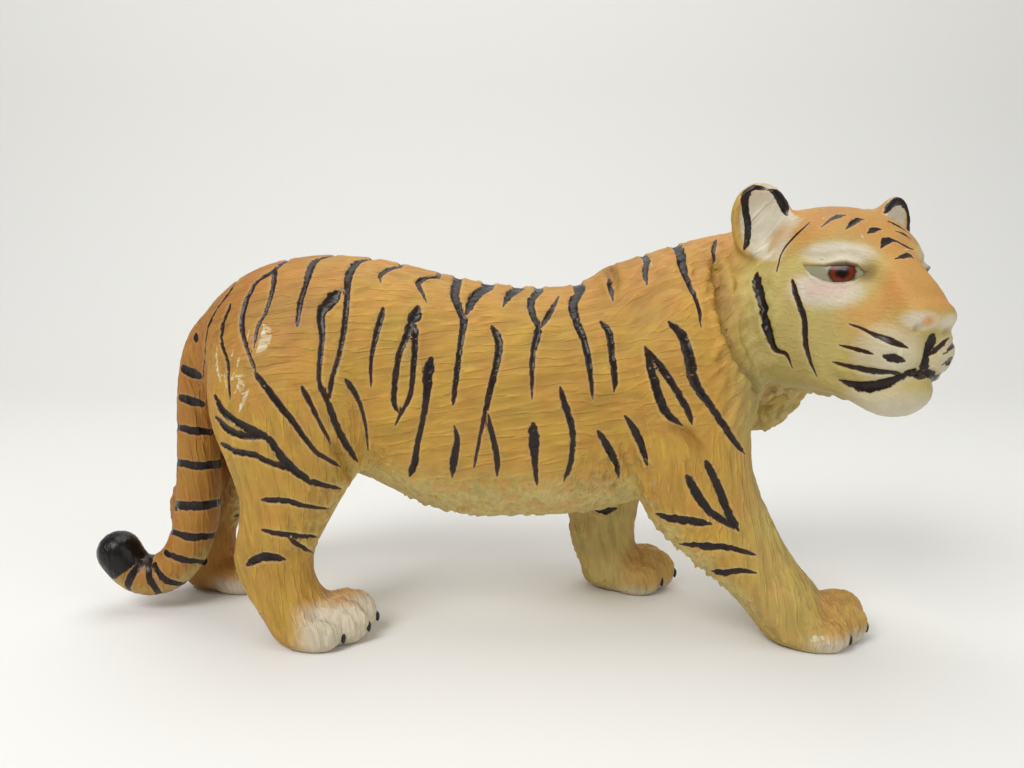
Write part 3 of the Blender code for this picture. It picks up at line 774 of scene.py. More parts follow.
def hair_tree():
    """A geometry tree that engraves hair, which lies another way on each part of the body."""
    tree, start, end = new_tree(
        "Engraved hair", {"Depth": "NodeSocketFloat", "Spacing": "NodeSocketFloat"},
    )
    place = add(tree, "GeometryNodeInputPosition")
    near = add(tree, "ShaderNodeVectorMath", {0: place.outputs[0]}, operation="DIVIDE")
    tree.links.new(start.outputs["Spacing"], near.inputs[1])
    total = None
    for name, (way, stretch, wide, cut) in HAIR.items():
        axes = hair_turn(way).to_matrix().transposed()
        coordinates = add(tree, "ShaderNodeCombineXYZ")
        for i, squeeze in enumerate((1 / stretch, 1, 1)):
            along = add(
                tree, "ShaderNodeVectorMath", {0: near.outputs["Vector"]},
                {1: axes[i] * squeeze / wide}, operation="DOT_PRODUCT",
            )
            tree.links.new(along.outputs["Value"], coordinates.inputs[i])
        noise = add(tree, "ShaderNodeTexNoise", {"Vector": coordinates.outputs["Vector"]},
                    {"Scale": 0.6, "Detail": 1.5, "Roughness": 0.5, "Distortion": 0.2})
        away = add(tree, "ShaderNodeMath", {0: noise.outputs[0]}, {1: 0.5}, operation="SUBTRACT")
        fold = add(tree, "ShaderNodeMath", {0: away.outputs["Value"]}, operation="ABSOLUTE")
        level = add(
            tree, "ShaderNodeMapRange", {"Value": fold.outputs["Value"]},
            {1: 0.0, 2: 0.17, 3: 0.5, 4: -0.5},
        )
        weight = add(tree, "GeometryNodeInputNamedAttribute", values={"Name": f"on_{name}"})
        cuts = add(
            tree, "ShaderNodeMath", {0: weight.outputs["Attribute"]}, {1: cut},
            operation="MULTIPLY",
        )
        part = add(
            tree, "ShaderNodeMath", {0: level.outputs["Result"], 1: cuts.outputs["Value"]},
            operation="MULTIPLY",
        )
        if total is None:
            total = part
        else:
            total = add(
                tree, "ShaderNodeMath", {0: total.outputs["Value"], 1: part.outputs["Value"]},
                operation="ADD",
            )
    calm = add(tree, "GeometryNodeInputNamedAttribute", values={"Name": "hair_share"})
    relief = add(
        tree, "ShaderNodeMath", {0: total.outputs["Value"], 1: calm.outputs["Attribute"]},
        operation="MULTIPLY",
    )
    stored = add(tree, "GeometryNodeStoreNamedAttribute", {
        "Geometry": start.outputs["Geometry"], "Value": relief.outputs["Value"]
    }, {"Name": "relief"}, data_type="FLOAT")
    height = add(
        tree, "ShaderNodeMath", {0: relief.outputs["Value"], 1: start.outputs["Depth"]},
        operation="MULTIPLY",
    )
    normal = add(tree, "GeometryNodeInputNormal")
    offset = add(
        tree, "ShaderNodeVectorMath", {0: normal.outputs[0], "Scale": height.outputs["Value"]},
        operation="SCALE",
    )
    moved = add(
        tree, "GeometryNodeSetPosition",
        {"Geometry": stored.outputs["Geometry"], "Offset": offset.outputs["Vector"]},
    )
    tree.links.new(moved.outputs["Geometry"], end.inputs["Geometry"])
    return tree


def hair_shares(places, normals):
    """How much each way of the hair counts at each place, and how deep it is cut there."""
    x, y, z = places.T
    head = in_head(places)
    forward = rise(z, 28, 34) * rise(x, 30, 38)
    on_ruff = rise(head[:, 0], -15, -11) * rise(head[:, 0], -1.5, -4.5)
    on_ruff = on_ruff * rise(head[:, 2], 10, 6) * forward
    on_head = rise(head[:, 0], -7, -2) * forward * (1 - on_ruff)
    turn_height = np.interp(x, [-40, -22, -12, 8, 20, 60], [38, 36, 24, 24, 32, 30])
    on_limb = rise(z, turn_height + 4, turn_height - 4) * (1 - on_head) * (1 - on_ruff)
    on_limb = np.maximum(on_limb, rise(x, -40, -43))
    shoulders = np.maximum(rise(x, 24, 34), rise(x, 14, 20) * rise(z, 42, 50))
    on_neck = shoulders * (1 - on_head - on_ruff) * (1 - on_limb)
    on_trunk = 1 - on_head - on_ruff - on_limb - on_neck
    sole = rise(z, 0.3, 1.5)
    mirrored = np.c_[head[:, 0], np.abs(head[:, 1]), head[:, 2]]
    calm = np.maximum(blob(mirrored, (15, 0, -3), (9, 9, 13)), blob(mirrored, (8, 6, 4), (7, 7, 6)))
    ears = blob(mirrored, (-4.4, 11.5, 11), (7, 8, 9))
    tail = rise(x, -44, -47) * rise(z, 34, 30)
    share = sole * (1 - 0.9 * calm) * (1 - 0.85 * ears) * (1 - 0.6 * tail)
    return {
        "on_head": on_head, "on_ruff": on_ruff, "on_limb": on_limb, "on_neck": on_neck,
        "on_trunk": on_trunk, "hair_share": share,
    }


# Locks of fur that stand off the skin: the corners of each zone, the way that they point, their
# size, and how much the skin must face that way.
LOCK_ZONES = {
    "belly": ((-22.0, -30.0, 10.0), (17.0, 30.0, 19.5), (-0.5, 0.0, -0.85), 0.72, 0.0),
    "throat": ((38.0, -9.0, 24.0), (56.0, 14.0, 37.0), (0.15, 0.0, -1.0), 1.0, 0.0),
    "ruff": ((30.0, -18.0, 33.0), (39.0, -2.0, 54.5), (-0.5, 0.0, -0.85), 1.05, -0.8),
    "far_ruff": ((50.0, 6.0, 33.0), (60.0, 20.0, 52.0), (0.1, 0.5, -0.85), 1.05, -0.8),
    "near_elbow": ((15.0, -14.0, 21.0), (23.0, 2.0, 29.0), (-0.6, 0.0, -0.8), 0.8, 0.0),
    "near_foreleg": ((22.0, -14.0, 7.0), (33.0, 2.0, 20.0), (-0.6, 0.0, -0.8), 0.6, 0.0),
    "far_foreleg": ((9.0, 6.0, 5.0), (15.0, 24.0, 20.0), (-0.6, 0.0, -0.8), 0.6, 0.0),
    "far_hock": ((-56.0, 6.0, 5.0), (-50.0, 26.0, 18.0), (-0.5, 0.0, -0.85), 0.6, 0.0),
}
LOCK_SEED = 4
LOCK_SIZES = (0.65, 1.2)
LOCK_WIDTH = 0.55
LOCK_LIFT = 0.12
LOCK_DENSITY = 900000.0
SMALLEST_LOCK = 0.35


def lock_mesh(long, wide):
    """One lock: a drop that is thick at its root and ends in a blunt point."""
    form = bmesh.new()
    bmesh.ops.create_uvsphere(form, u_segments=10, v_segments=8, radius=1)
    for vertex in form.verts:
        x, y, z = vertex.co
        share = (x + 1) / 2
        slim = 1 - 0.5 * share ** 2
        vertex.co = ((share - 0.35) * long, y * wide / 2 * slim, z * wide * 0.32 * slim)
    mesh = bpy.data.meshes.new("lock")
    form.to_mesh(mesh)
    form.free()
    return mesh


def lock_tree():
    """A geometry tree that sets locks of fur where the skin is marked, each along its own way."""
    tree, start, end = new_tree("Locks of fur", {
        "Lock": "NodeSocketObject", "Spacing": "NodeSocketFloat",
        "Seed": "NodeSocketInt", "Finish": "NodeSocketMaterial",
    })
    size = add(tree, "GeometryNodeInputNamedAttribute", values={"Name": "lock_size"})
    marked = add(
        tree, "ShaderNodeMath", {0: size.outputs["Attribute"]}, {1: SMALLEST_LOCK},
        operation="GREATER_THAN",
    )
    points = add(tree, "GeometryNodeDistributePointsOnFaces", {
        "Mesh": start.outputs["Geometry"], "Distance Min": start.outputs["Spacing"],
        "Seed": start.outputs["Seed"], "Density Factor": marked.outputs["Value"],
    }, {"Density Max": LOCK_DENSITY}, distribute_method="POISSON")
    flow = add(
        tree, "GeometryNodeInputNamedAttribute", values={"Name": "lock_flow"},
        data_type="FLOAT_VECTOR",
    )
    aim = add(tree, "FunctionNodeAxesToRotation", {
        "Primary Axis": flow.outputs["Attribute"], "Secondary Axis": points.outputs["Normal"]
    }, primary_axis="X", secondary_axis="Z")
    dice = add(
        tree, "FunctionNodeRandomValue", {"Seed": start.outputs["Seed"]},
        {2: LOCK_SIZES[0], 3: LOCK_SIZES[1]},
    )
    scale = add(
        tree, "ShaderNodeMath", {0: dice.outputs[1], 1: size.outputs["Attribute"]},
        operation="MULTIPLY",
    )
    lock = add(tree, "GeometryNodeObjectInfo", {"Object": start.outputs["Lock"]})
    locks = add(tree, "GeometryNodeInstanceOnPoints", {
        "Points": points.outputs["Points"], "Instance": lock.outputs["Geometry"],
        "Rotation": aim.outputs["Rotation"], "Scale": scale.outputs["Value"],
    })
    real = add(tree, "GeometryNodeRealizeInstances", {"Geometry": locks.outputs["Instances"]})
    joined = add(tree, "GeometryNodeJoinGeometry", {"Geometry": start.outputs["Geometry"]})
    tree.links.new(real.outputs["Geometry"], joined.inputs["Geometry"])
    finished = add(tree, "GeometryNodeSetMaterial", {
        "Geometry": joined.outputs["Geometry"], "Material": start.outputs["Finish"]
    })
    tree.links.new(finished.outputs["Geometry"], end.inputs["Geometry"])
    return tree


def mark_locks(mesh):
    """Marks where locks of fur stand and which way they point."""
    places, normals = places_of(mesh)
    size = np.zeros(len(places))
    flow = np.zeros((len(places), 3))
    flow[:, 2] = -1
    for low, high, way, scale, least in LOCK_ZONES.values():
        inside = np.all((places > low) & (places < high), axis=1)
        inside &= normals @ np.array(way) > least
        size[inside] = scale
        lift = normals[inside] @ np.array(way)
        flow[inside] = np.array(way) - (lift[:, None] - LOCK_LIFT) * normals[inside]
    keep(mesh, "lock_size", size)
    keep(mesh, "lock_flow", flow, "FLOAT_VECTOR")


# The eye's opening, in millimetres from the pupil: the way to the outer corner, and how far the
# upper and the lower lid are from the middle line there.
EYE_LIDS = (
    (-2.6, 0.05, 0.0), (-1.7, 0.9, -0.8), (-0.4, 1.15, -1.25), (1.0, 0.95, -1.35),
    (2.4, 0.55, -1.1), (4.0, 0.6, -0.45), (5.4, 0.95, 0.85),
)
EYE_TURN = 46.0
EYE_SUNK = 0.85
UPPER_LID_RAISED = 0.38
LOWER_LID_RAISED = 0.22

# The painted ball: its half sizes, how far its middle is from the pupil along the opening and
# inwards, and where the painted highlight is, back along the opening and up.
EYE_BALL = (4.6, 2.6, 1.7)
EYE_BALL_ALONG = 1.0
EYE_BALL_IN = 1.95
LIGHT_BACK = 0.1
LIGHT_UP = 0.15

# Where the skin is made finer: the muzzle's middle in the head's frame, and how far that goes.
MUZZLE = (15.0, 0.0, -4.0)
MUZZLE_REACH = 9.5
EYE_REACHES = (6.5, 5.5)


def eye_frames(skin):
    """For each eye its place on the skin, the way to its outer corner, up and outwards."""
    near, _ = skin.seen_at(*IRIS_PIXEL)
    x, y, z = in_head(np.array(near)[None])[0]
    frames = []
    for side in (-1, 1):
        place = skin.nearest(from_head((x, side * abs(y), z)))
        turn = math.radians(EYE_TURN)
        out = Vector((math.cos(turn), side * math.sin(turn), 0.12)).normalized()
        along = Vector((-math.sin(turn), side * math.cos(turn), 0.0))
        along = (along - out * along.dot(out)).normalized()
        up = out.cross(along) * side
        axes = np.array([Vector(HEAD_AXES @ np.array(a)) for a in (along, up, out)])
        frames.append((place, axes))
    return frames


def eye_opening(u, v):
    """How far a place is inside the eye's opening."""
    along, upper, lower = np.array(EYE_LIDS).T
    inside = np.minimum(np.interp(u, along, upper) - v, v - np.interp(u, along, lower))
    return np.minimum(inside, np.minimum(u - along[0], along[-1] - u))


def cut_eyes(places, frames):
    """Cuts the openings of the eyes and raises the lids."""
    for place, axes in frames:
        u, v, w = ((places - np.array(place)) @ axes.T).T
        near = rise(np.hypot((u - 1.4) / 1.3, v), 5.5, 4.0) * (np.abs(w) < 4)
        inside = eye_opening(u, v)
        push = -EYE_SUNK * rise(inside, -0.06, 0.2)
        raised = np.where(v > 0.4, UPPER_LID_RAISED, LOWER_LID_RAISED)
        lid = raised * np.exp(-((inside + 0.42) / 0.3) ** 2)
        lid = lid * rise(u, -3.4, -1.8) * rise(u, 5.6, 3.6)
        crease = -0.28 * np.exp(-((inside + 1.35) / 0.45) ** 2)
        crease = crease * rise(v, 0.6, 1.4) * rise(u, -3.4, -1.0)
        hollow = -0.5 * np.exp(-((u + 3.4) / 1.0) ** 2 - ((v - 0.3) / 1.3) ** 2)
        places = places + (near * (push + lid + crease + hollow))[:, None] * axes[2]
    return places


def refine(mesh, spots):
    """Splits the triangles near each spot, so that the face holds finer forms."""
    form = bmesh.new()
    form.from_mesh(mesh)
    for centre, radius in spots:
        edges = [edge for edge in form.edges if (edge.verts[0].co / MM - centre).length < radius]
        bmesh.ops.subdivide_edges(form, edges=edges, cuts=1, use_grid_fill=True)
    bmesh.ops.triangulate(form, faces=[face for face in form.faces if len(face.verts) > 3])
    form.to_mesh(mesh)
    form.free()


# Shapes pressed into or raised on the head, on both sides where they are off the middle:
# centre, half sizes and push in the head's frame.
HEAD_TOUCHES = (
    ((16.9, 2.6, -1.9), (1.9, 1.0, 0.9), (-0.9, 0.35, 0.1)),
    ((18.6, 2.1, -2.6), (1.4, 0.9, 0.9), (-0.8, 0.0, 0.0)),
    ((19.0, 0.0, -5.6), (2.6, 0.6, 3.4), (-0.6, 0.0, 0.0)),
    ((9.0, 3.9, 6.4), (4.0, 1.6, 2.4), (0.3, 0.2, 0.4)),
    ((7.0, 8.0, 0.8), (4.0, 3.2, 2.0), (0.25, 0.35, -0.1)),
    ((12.6, 3.4, 2.9), (2.6, 1.6, 2.6), (-0.3, -0.4, 0.0)),
)


def touch_head(places):
    """Presses the nostrils, the philtrum and the hollows by the eyes into the head."""
    head = in_head(places)
    for centre, half_sizes, push in HEAD_TOUCHES:
        for side in (-1, 1) if centre[1] else (1,):
            mirrored = np.array((1, side, 1))
            share = blob(head, np.array(centre) * mirrored, half_sizes)
            head += share[:, None] * np.array(push) * mirrored
    return head @ HEAD_AXES.T + np.array(HEAD_PLACE)


def part_toes(places):
    """Presses the clefts between the toes of each paw."""
    for end, middle, outer, _ in PAWS.values():
        for (a, _, _), (b, _, _) in zip(TOES, TOES[1:]):
            across = middle + outer * (a + b) / 2
            gap = Vector((end - CLEFT_BACK, across, CLEFT_HEIGHT)) + FRAME_SHIFT
            share = blob(places, gap, CLEFT_HALF_SIZES)[:, None]
            places = places + share * np.array(CLEFT_PUSH)
    return places


def clay_copy(name):
    """A closed copy of the moulded solid, with its facets smoothed away."""
    form = bmesh.new()
    form.from_mesh(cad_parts[SOLID].data)
    bmesh.ops.remove_doubles(form, verts=form.verts, dist=1e-7)
    mesh = bpy.data.meshes.new(name)
    form.to_mesh(mesh)
    form.free()
    return remade(link(name, mesh), CLAY_GRAIN * MM, CLAY_SMOOTHING)


def paint_skin(mesh, colours, frames):
    """Sprays the colours on, from the ochre of the flanks to the white of the face.

    Each line is one pass of the airbrush: a colour, how strong it is, and where it lies, in
    millimetres of the model, of the head or of the eye. The passes of the hollow colour are painted
    shade in the eyes' inner corners and along their lids.
    """
    places, normals = places_of(mesh)
    x, y, z = places.T
    head = in_head(places)
    hx, hy, hz = head[:, 0], np.abs(head[:, 1]), head[:, 2]
    colour = np.tile(np.array(colours.flank), (len(places), 1))

    def spray(name, share):
        nonlocal colour
        share = np.clip(share, 0, 1)[:, None]
        colour = colour * (1 - share) + np.array(getattr(colours, name)) * share

    on_head = rise(hx, -9, -3) * rise(z, 27, 33) * rise(x, 30, 38)
    top = rise(normals[:, 2], -0.1, 0.9)
    spray("back", 0.75 * rise(z, 42, 56) * top)
    spray("rump", 0.75 * rise(x, -14, -40) * rise(z, 30, 50))
    spray("rump", 0.8 * rise(x, -40, -44))
    spray("belly", rise(normals[:, 2], -0.15, -0.7) * rise(z, 30, 22) * rise(z, 2, 6))
    inner = np.where(y < SPINE_Y, normals[:, 1], -normals[:, 1])
    spray("belly", 0.75 * rise(inner, 0.1, 0.8) * rise(z, 36, 28) * rise(x, -44, -41))
    spray(
        "belly",
        0.8 * rise(x, 33, 44) * rise(z, 42, 34) * rise(normals[:, 0], 0.1, 0.7) * rise(z, 14, 20),
    )
    spray("rump", 0.45 * blob(places, (19, SPINE_Y, 52), (15, 22, 14)))
    spray("rump", 0.35 * blob(places, (27, SPINE_Y, 34), (8, 25, 12)))
    spray("cheek", 0.55 * rise(x, 30, 40) * rise(z, 56, 44) * (1 - on_head))
    spray("cheek", on_head)
    spray("back", on_head * rise(hz, 3.5, 9) * rise(hx, 16.5, 12) * rise(hx, -9, -5))
    spray("back", on_head * rise(hy, 5.6, 3.4) * rise(hz, -1.8, 0.6) * rise(hx, 21.0, 19.0))
    spray("back", 0.85 * on_head * blob(np.c_[hx, hy, hz], (13, 5.0, -1.5), (6.5, 5, 4.5)) ** 0.7)
    for place, axes in frames:
        u, v, w = ((places - np.array(place)) @ axes.T).T
        facing = np.abs(w) < 5
        spray("cheek", 0.8 * facing * rise(np.hypot((u - 1.0) / 8.0, (v - 0.5) / 5.5), 1.0, 0.6))
        spray("white", 0.95 * facing * rise(np.hypot((u - 1.0) / 6.2, (v - 2.5) / 2.2), 1.0, 0.45))
        spray("white", 1.1 * facing * rise(np.hypot((u - 1.9) / 6.4, (v + 2.4) / 3.3), 1.0, 0.4))
        spray("lid_skin", 0.6 * facing * rise(np.hypot((u - 1.6) / 4.8, (v + 2.3) / 1.9), 1.0, 0.3))
        # Painted shade in the hollow colour: in the eye's inner corner, then along the upper and
        # the lower lid.
        spray("hollow", 0.65 * facing * rise(np.hypot((u + 2.9) / 1.9, (v - 0.1) / 1.7), 1.0, 0.1))
        opening = eye_opening(u, v)
        spray(
            "hollow",
            0.75 * facing * rise(opening, -0.5, -0.12) * rise(v, -0.2, 0.3) * rise(u, 5.5, 2.5),
        )
        spray(
            "hollow",
            0.4 * facing * rise(opening, -0.4, -0.1) * rise(v, 0.2, -0.3) * rise(u, 5.0, 2.0),
        )
    spray("white", on_head * blob(np.c_[hx, hy, hz], (15, 3.4, -6.2), (5.2, 4.6, 4.6)) ** 0.5)
    spray("white", 1.3 * on_head * blob(np.c_[hx, hy, hz], (12.5, 0, -13), (7.4, 6.8, 4.6)) ** 0.5)
    cup = rise(np.hypot((hy - 10.9) / 3.5, (hz - 10.4) / 5.7), 1.0, 0.85)
    cup = cup * rise(hx, -7.5, -6.0) * rise(hx, 0.5, -1.0)
    spray(
        "white",
        cup * rise(normals @ (HEAD_AXES @ np.array((0.9, 0, 0.2))), 0.1, 0.4) * rise(z, 30, 33),
    )
    for end, middle, _, white_height in PAWS.values():
        end, middle = end + FRAME_SHIFT.x, middle + FRAME_SHIFT.y
        toes = rise(np.abs(y - middle), 8, 7) * rise(z, 9, 6) * rise(x, end + 3, end + 2)
        spray("back", 0.6 * toes * rise(x, end - 12, end - 6))
        spray(
            "white",
            0.9 * toes * rise(x, end - 12.5, end - 7.5) * rise(z, white_height, white_height - 2.2),
        )
        spray("back", 0.5 * toes * blob(places, (end - 7, middle, 7.5), (5.5, 5.0, 2.6)) ** 0.5)
    spray(
        "white", 1.2 * on_head * blob(np.c_[hx, hy, hz], (18.2, 1.8, -1.6), (2.6, 2.9, 1.5)) ** 0.5,
    )
    spray("back", 0.9 * on_head * blob(head, (19.2, -1.5, -1.6), (1.3, 1.0, 0.9)) ** 0.5)
    keep(mesh, "paint", np.c_[colour, np.ones(len(places))], "FLOAT_COLOR")
    lower_flank = rise(z, 30, 24) * rise(x, -16, -8) * rise(x, 18, 12)
    elbow = blob(places, (25.0, -4.0, 28.0), (9, 12, 8))
    elbow = elbow + blob(places, (22.0, 14.0, 28.0), (9, 12, 8))
    keep(mesh, "blotch", np.clip(lower_flank + elbow, 0, 1))


def stroke_mask(tree, place, label, ragged):
    """Where a stroke covers the skin, with the edge as crisp as a brush leaves it."""
    near = add(tree, "ShaderNodeAttribute", attribute_name=f"{label}_near")
    half = add(tree, "ShaderNodeAttribute", attribute_name=f"{label}_half")
    edge = add(tree, "ShaderNodeAttribute", attribute_name=f"{label}_edge")
    distance = add(
        tree, "ShaderNodeVectorMath", {0: place, 1: near.outputs["Vector"]}, operation="DISTANCE",
    )
    uneven = add(tree, "ShaderNodeTexNoise", {"Vector": place}, {"Scale": 1100.0, "Detail": 2.0})
    swell = add(
        tree, "ShaderNodeMapRange", {"Value": uneven.outputs[0]},
        {1: 0.3, 2: 0.7, 3: 1 - ragged, 4: 1 + ragged},
    )
    width = add(
        tree, "ShaderNodeMath", {0: half.outputs["Fac"], 1: swell.outputs["Result"]},
        operation="MULTIPLY",
    )
    depth = add(
        tree, "ShaderNodeMath", {0: width.outputs["Value"], 1: distance.outputs["Value"]},
        operation="SUBTRACT",
    )
    inside = add(
        tree, "ShaderNodeMapRange", {"Value": depth.outputs["Value"]},
        {1: -0.06 * MM, 2: 0.06 * MM},
    )
    apart = add(
        tree, "ShaderNodeMath", {0: half.outputs["Fac"], 1: edge.outputs["Fac"]}, operation="ADD",
    )
    astray = add(
        tree, "ShaderNodeMath", {0: apart.outputs["Value"], 1: distance.outputs["Value"]},
        operation="SUBTRACT",
    )
    sure = add(
        tree, "ShaderNodeMapRange", {"Value": astray.outputs["Value"]}, {1: 0.3 * MM, 2: 0.2 * MM},
    )
    close = add(
        tree, "ShaderNodeMapRange", {"Value": edge.outputs["Fac"]}, {1: 0.28 * MM, 2: 0.16 * MM},
    )
    whole = add(
        tree, "ShaderNodeMath", {0: sure.outputs["Result"], 1: close.outputs["Result"]},
        operation="MULTIPLY",
    )
    crisp = add(
        tree, "ShaderNodeMath", {0: inside.outputs["Result"], 1: whole.outputs["Value"]},
        operation="MULTIPLY",
    )
    core = add(
        tree, "ShaderNodeMapRange", {"Value": edge.outputs["Fac"]}, {1: -0.06 * MM, 2: -0.16 * MM},
    )
    mask = add(
        tree, "ShaderNodeMath", {0: crisp.outputs["Value"], 1: core.outputs["Result"]},
        operation="MAXIMUM",
    )
    return mask.outputs["Value"], half.outputs["Fac"], edge.outputs["Fac"]


def painted_vinyl(colours, form):
    """Painted moulded vinyl: soft PVC with a satin brushed and sprayed paint.

    The paint has soft sprayed edges, worn crests where the pale vinyl shows, and glossy near-black
    strokes in the sunken stripes, brown where the paint is thin. Painted shade darkens the grooves
    of the engraved hair and the folds, and a painted highlight lightens the crests of the hair.
    """
    material = bpy.data.materials.new("painted_moulded_vinyl")
    material.use_nodes = True
    tree = material.node_tree
    shader = tree.nodes["Principled BSDF"]
    shader.inputs["IOR"].default_value = 1.5
    shader.inputs["Specular IOR Level"].default_value = 0.32
    place = add(tree, "ShaderNodeTexCoord").outputs["Object"]
    base = add(tree, "ShaderNodeAttribute", attribute_name="paint").outputs["Color"]
    patches = add(
        tree, "ShaderNodeTexNoise", {"Vector": place},
        {"Scale": 110.0, "Detail": 4.0, "Roughness": 0.6},
    )
    cloudy = add(
        tree, "ShaderNodeMapRange", {"Value": patches.outputs[0]}, {1: 0.3, 2: 0.7, 3: 0.9, 4: 1.1},
    )
    # Painted shade: darker in the grooves of the engraved hair and a little lighter on its crests.
    relief = add(tree, "ShaderNodeAttribute", attribute_name="relief").outputs["Fac"]
    painted_shade = add(tree, "ShaderNodeMapRange", {"Value": relief}, {1: -0.7, 2: 0.5, 3: 0.76, 4: 1.1})
    value = add(
        tree, "ShaderNodeMath", {0: cloudy.outputs["Result"], 1: painted_shade.outputs["Result"]},
        operation="MULTIPLY",
    )
    hairs = None
    for name, (way, stretch, wide, cut) in HAIR.items():
        spacing = form.hair_spacing * 0.75 * wide
        turned = add(tree, "ShaderNodeMapping", {"Vector": place}, vector_type="TEXTURE")
        turned.inputs["Rotation"].default_value = hair_turn(way)
        turned.inputs["Scale"].default_value = (spacing * stretch, spacing, spacing)
        combed = add(
            tree, "ShaderNodeTexWave", {"Vector": turned.outputs["Vector"]},
            {"Scale": 0.31, "Distortion": 6.5, "Detail": 2.0, "Detail Scale": 1.6},
            bands_direction="DIAGONAL",
        )
        ridge = add(
            tree, "ShaderNodeMapRange", {"Value": combed.outputs[1]}, {1: 0.45, 2: 1.0},
            interpolation_type="SMOOTHSTEP",
        )
        strands = add(
            tree, "ShaderNodeTexNoise", {"Vector": turned.outputs["Vector"]},
            {"Scale": 0.8, "Detail": 2.0},
        )
        shown = add(
            tree, "ShaderNodeMapRange", {"Value": strands.outputs[0]},
            {1: 0.4, 2: 0.6, 3: 0.15, 4: 1.0},
        )
        crest = add(
            tree, "ShaderNodeMath", {0: ridge.outputs["Result"], 1: shown.outputs["Result"]},
            operation="MULTIPLY",
        )
        weight = add(tree, "ShaderNodeAttribute", attribute_name=f"on_{name}")
        part = add(
            tree, "ShaderNodeMath", {0: crest.outputs["Value"], 1: weight.outputs["Fac"]},
            operation="MULTIPLY",
        )
        part = add(
            tree, "ShaderNodeMath", {0: part.outputs["Value"]}, {1: min(1, cut + 0.15)},
            operation="MULTIPLY",
        )
        hairs = part if hairs is None else add(
            tree, "ShaderNodeMath", {0: hairs.outputs["Value"], 1: part.outputs["Value"]},
            operation="ADD",
        )
    # Painted highlight along the crests of the combed hair, with painted shade between them.
    streaks = add(
        tree, "ShaderNodeMapRange", {"Value": hairs.outputs["Value"]},
        {1: 0.0, 2: 0.9, 3: 0.95, 4: 1.1},
    )
    value = add(
        tree, "ShaderNodeMath", {0: value.outputs["Value"], 1: streaks.outputs["Result"]},
        operation="MULTIPLY",
    )
    # Painted shade in the folds of the skin.
    folded = add(tree, "ShaderNodeAttribute", attribute_name="fold_edge")
    fold_shade = add(
        tree, "ShaderNodeMapRange", {"Value": folded.outputs["Fac"]},
        {1: -1.0 * MM, 2: 0.7 * MM, 3: 0.62, 4: 1.0},
    )
    value = add(
        tree, "ShaderNodeMath", {0: value.outputs["Value"], 1: fold_shade.outputs["Result"]},
        operation="MULTIPLY",
    )
    warm = add(tree, "ShaderNodeTexNoise", {"Vector": place}, {"Scale": 260.0, "Detail": 3.0})
    hue = add(
        tree, "ShaderNodeMapRange", {"Value": warm.outputs[0]}, {1: 0.3, 2: 0.7, 3: 0.49, 4: 0.508},
    )
    toned = add(
        tree, "ShaderNodeHueSaturation",
        {"Color": base, "Value": value.outputs["Value"], "Hue": hue.outputs["Result"]},
    )
    blotch = add(tree, "ShaderNodeAttribute", attribute_name="blotch")
    spots = add(tree, "ShaderNodeTexNoise", {"Vector": place}, {"Scale": 420.0, "Detail": 3.0})
    spotted = add(
        tree, "ShaderNodeMapRange", {"Value": spots.outputs[0]}, {1: 0.5, 2: 0.62, 3: 0.0, 4: 0.55},
    )
    daubed = add(
        tree, "ShaderNodeMath", {0: blotch.outputs["Fac"], 1: spotted.outputs["Result"]},
        operation="MULTIPLY",
    )
    orange = add(tree, "ShaderNodeMix", {0: daubed.outputs["Value"], 6: toned.outputs["Color"]},
                 {7: (*colours.back, 1)}, data_type="RGBA")
    worn, _, _ = stroke_mask(tree, place, "worn", 0.55)
    crests = add(
        tree, "ShaderNodeMapRange", {"Value": hairs.outputs["Value"]},
        {1: 0.0, 2: 0.35, 3: 0.45, 4: 0.95},
    )
    rubbed = add(
        tree, "ShaderNodeMath", {0: worn, 1: crests.outputs["Result"]}, operation="MULTIPLY",
    )
    bare = add(
        tree, "ShaderNodeMix", {0: rubbed.outputs["Value"], 6: orange.outputs[2]},
        {7: (*colours.vinyl, 1)}, data_type="RGBA",
    )
    painted, half, edge = stroke_mask(tree, place, "stripe", 0.16)
    tip = add(tree, "ShaderNodeVectorMath", {0: place}, {1: TAIL_TIP * MM}, operation="DISTANCE")
    ragged = add(
        tree, "ShaderNodeMath", {0: patches.outputs[0]}, {1: 0.9 * MM}, operation="MULTIPLY",
    )
    reach = add(
        tree, "ShaderNodeMath", {0: tip.outputs["Value"], 1: ragged.outputs["Value"]},
        operation="ADD",
    )
    dipped = add(tree, "ShaderNodeMapRange", {"Value": reach.outputs["Value"]},
                 {1: (TAIL_TIP_RADIUS + 0.5) * MM, 2: (TAIL_TIP_RADIUS + 0.35) * MM})
    black_share = add(
        tree, "ShaderNodeMath", {0: painted, 1: dipped.outputs["Result"]}, operation="MAXIMUM",
    )
    stripe = black_share.outputs["Value"]
    rim = add(
        tree, "ShaderNodeMapRange", {"Value": edge}, {1: 0.4 * MM, 2: 0.12 * MM, 3: 0.0, 4: 0.1},
    )
    rimmed = add(
        tree, "ShaderNodeMix", {0: rim.outputs["Result"], 6: bare.outputs[2]},
        {7: (*colours.vinyl, 1)}, data_type="RGBA",
    )
    thin = add(
        tree, "ShaderNodeMapRange", {"Value": half}, {1: 0.18 * MM, 2: 0.5 * MM, 3: 0.85, 4: 0.0},
    )
    dry = add(tree, "ShaderNodeTexNoise", {"Vector": place}, {"Scale": 700.0, "Detail": 3.0})
    dry_share = add(
        tree, "ShaderNodeMapRange", {"Value": dry.outputs[0]}, {1: 0.42, 2: 0.68, 3: 0.0, 4: 0.55},
    )
    browned = add(
        tree, "ShaderNodeMath", {0: thin.outputs["Result"], 1: dry_share.outputs["Result"]},
        operation="ADD",
    )
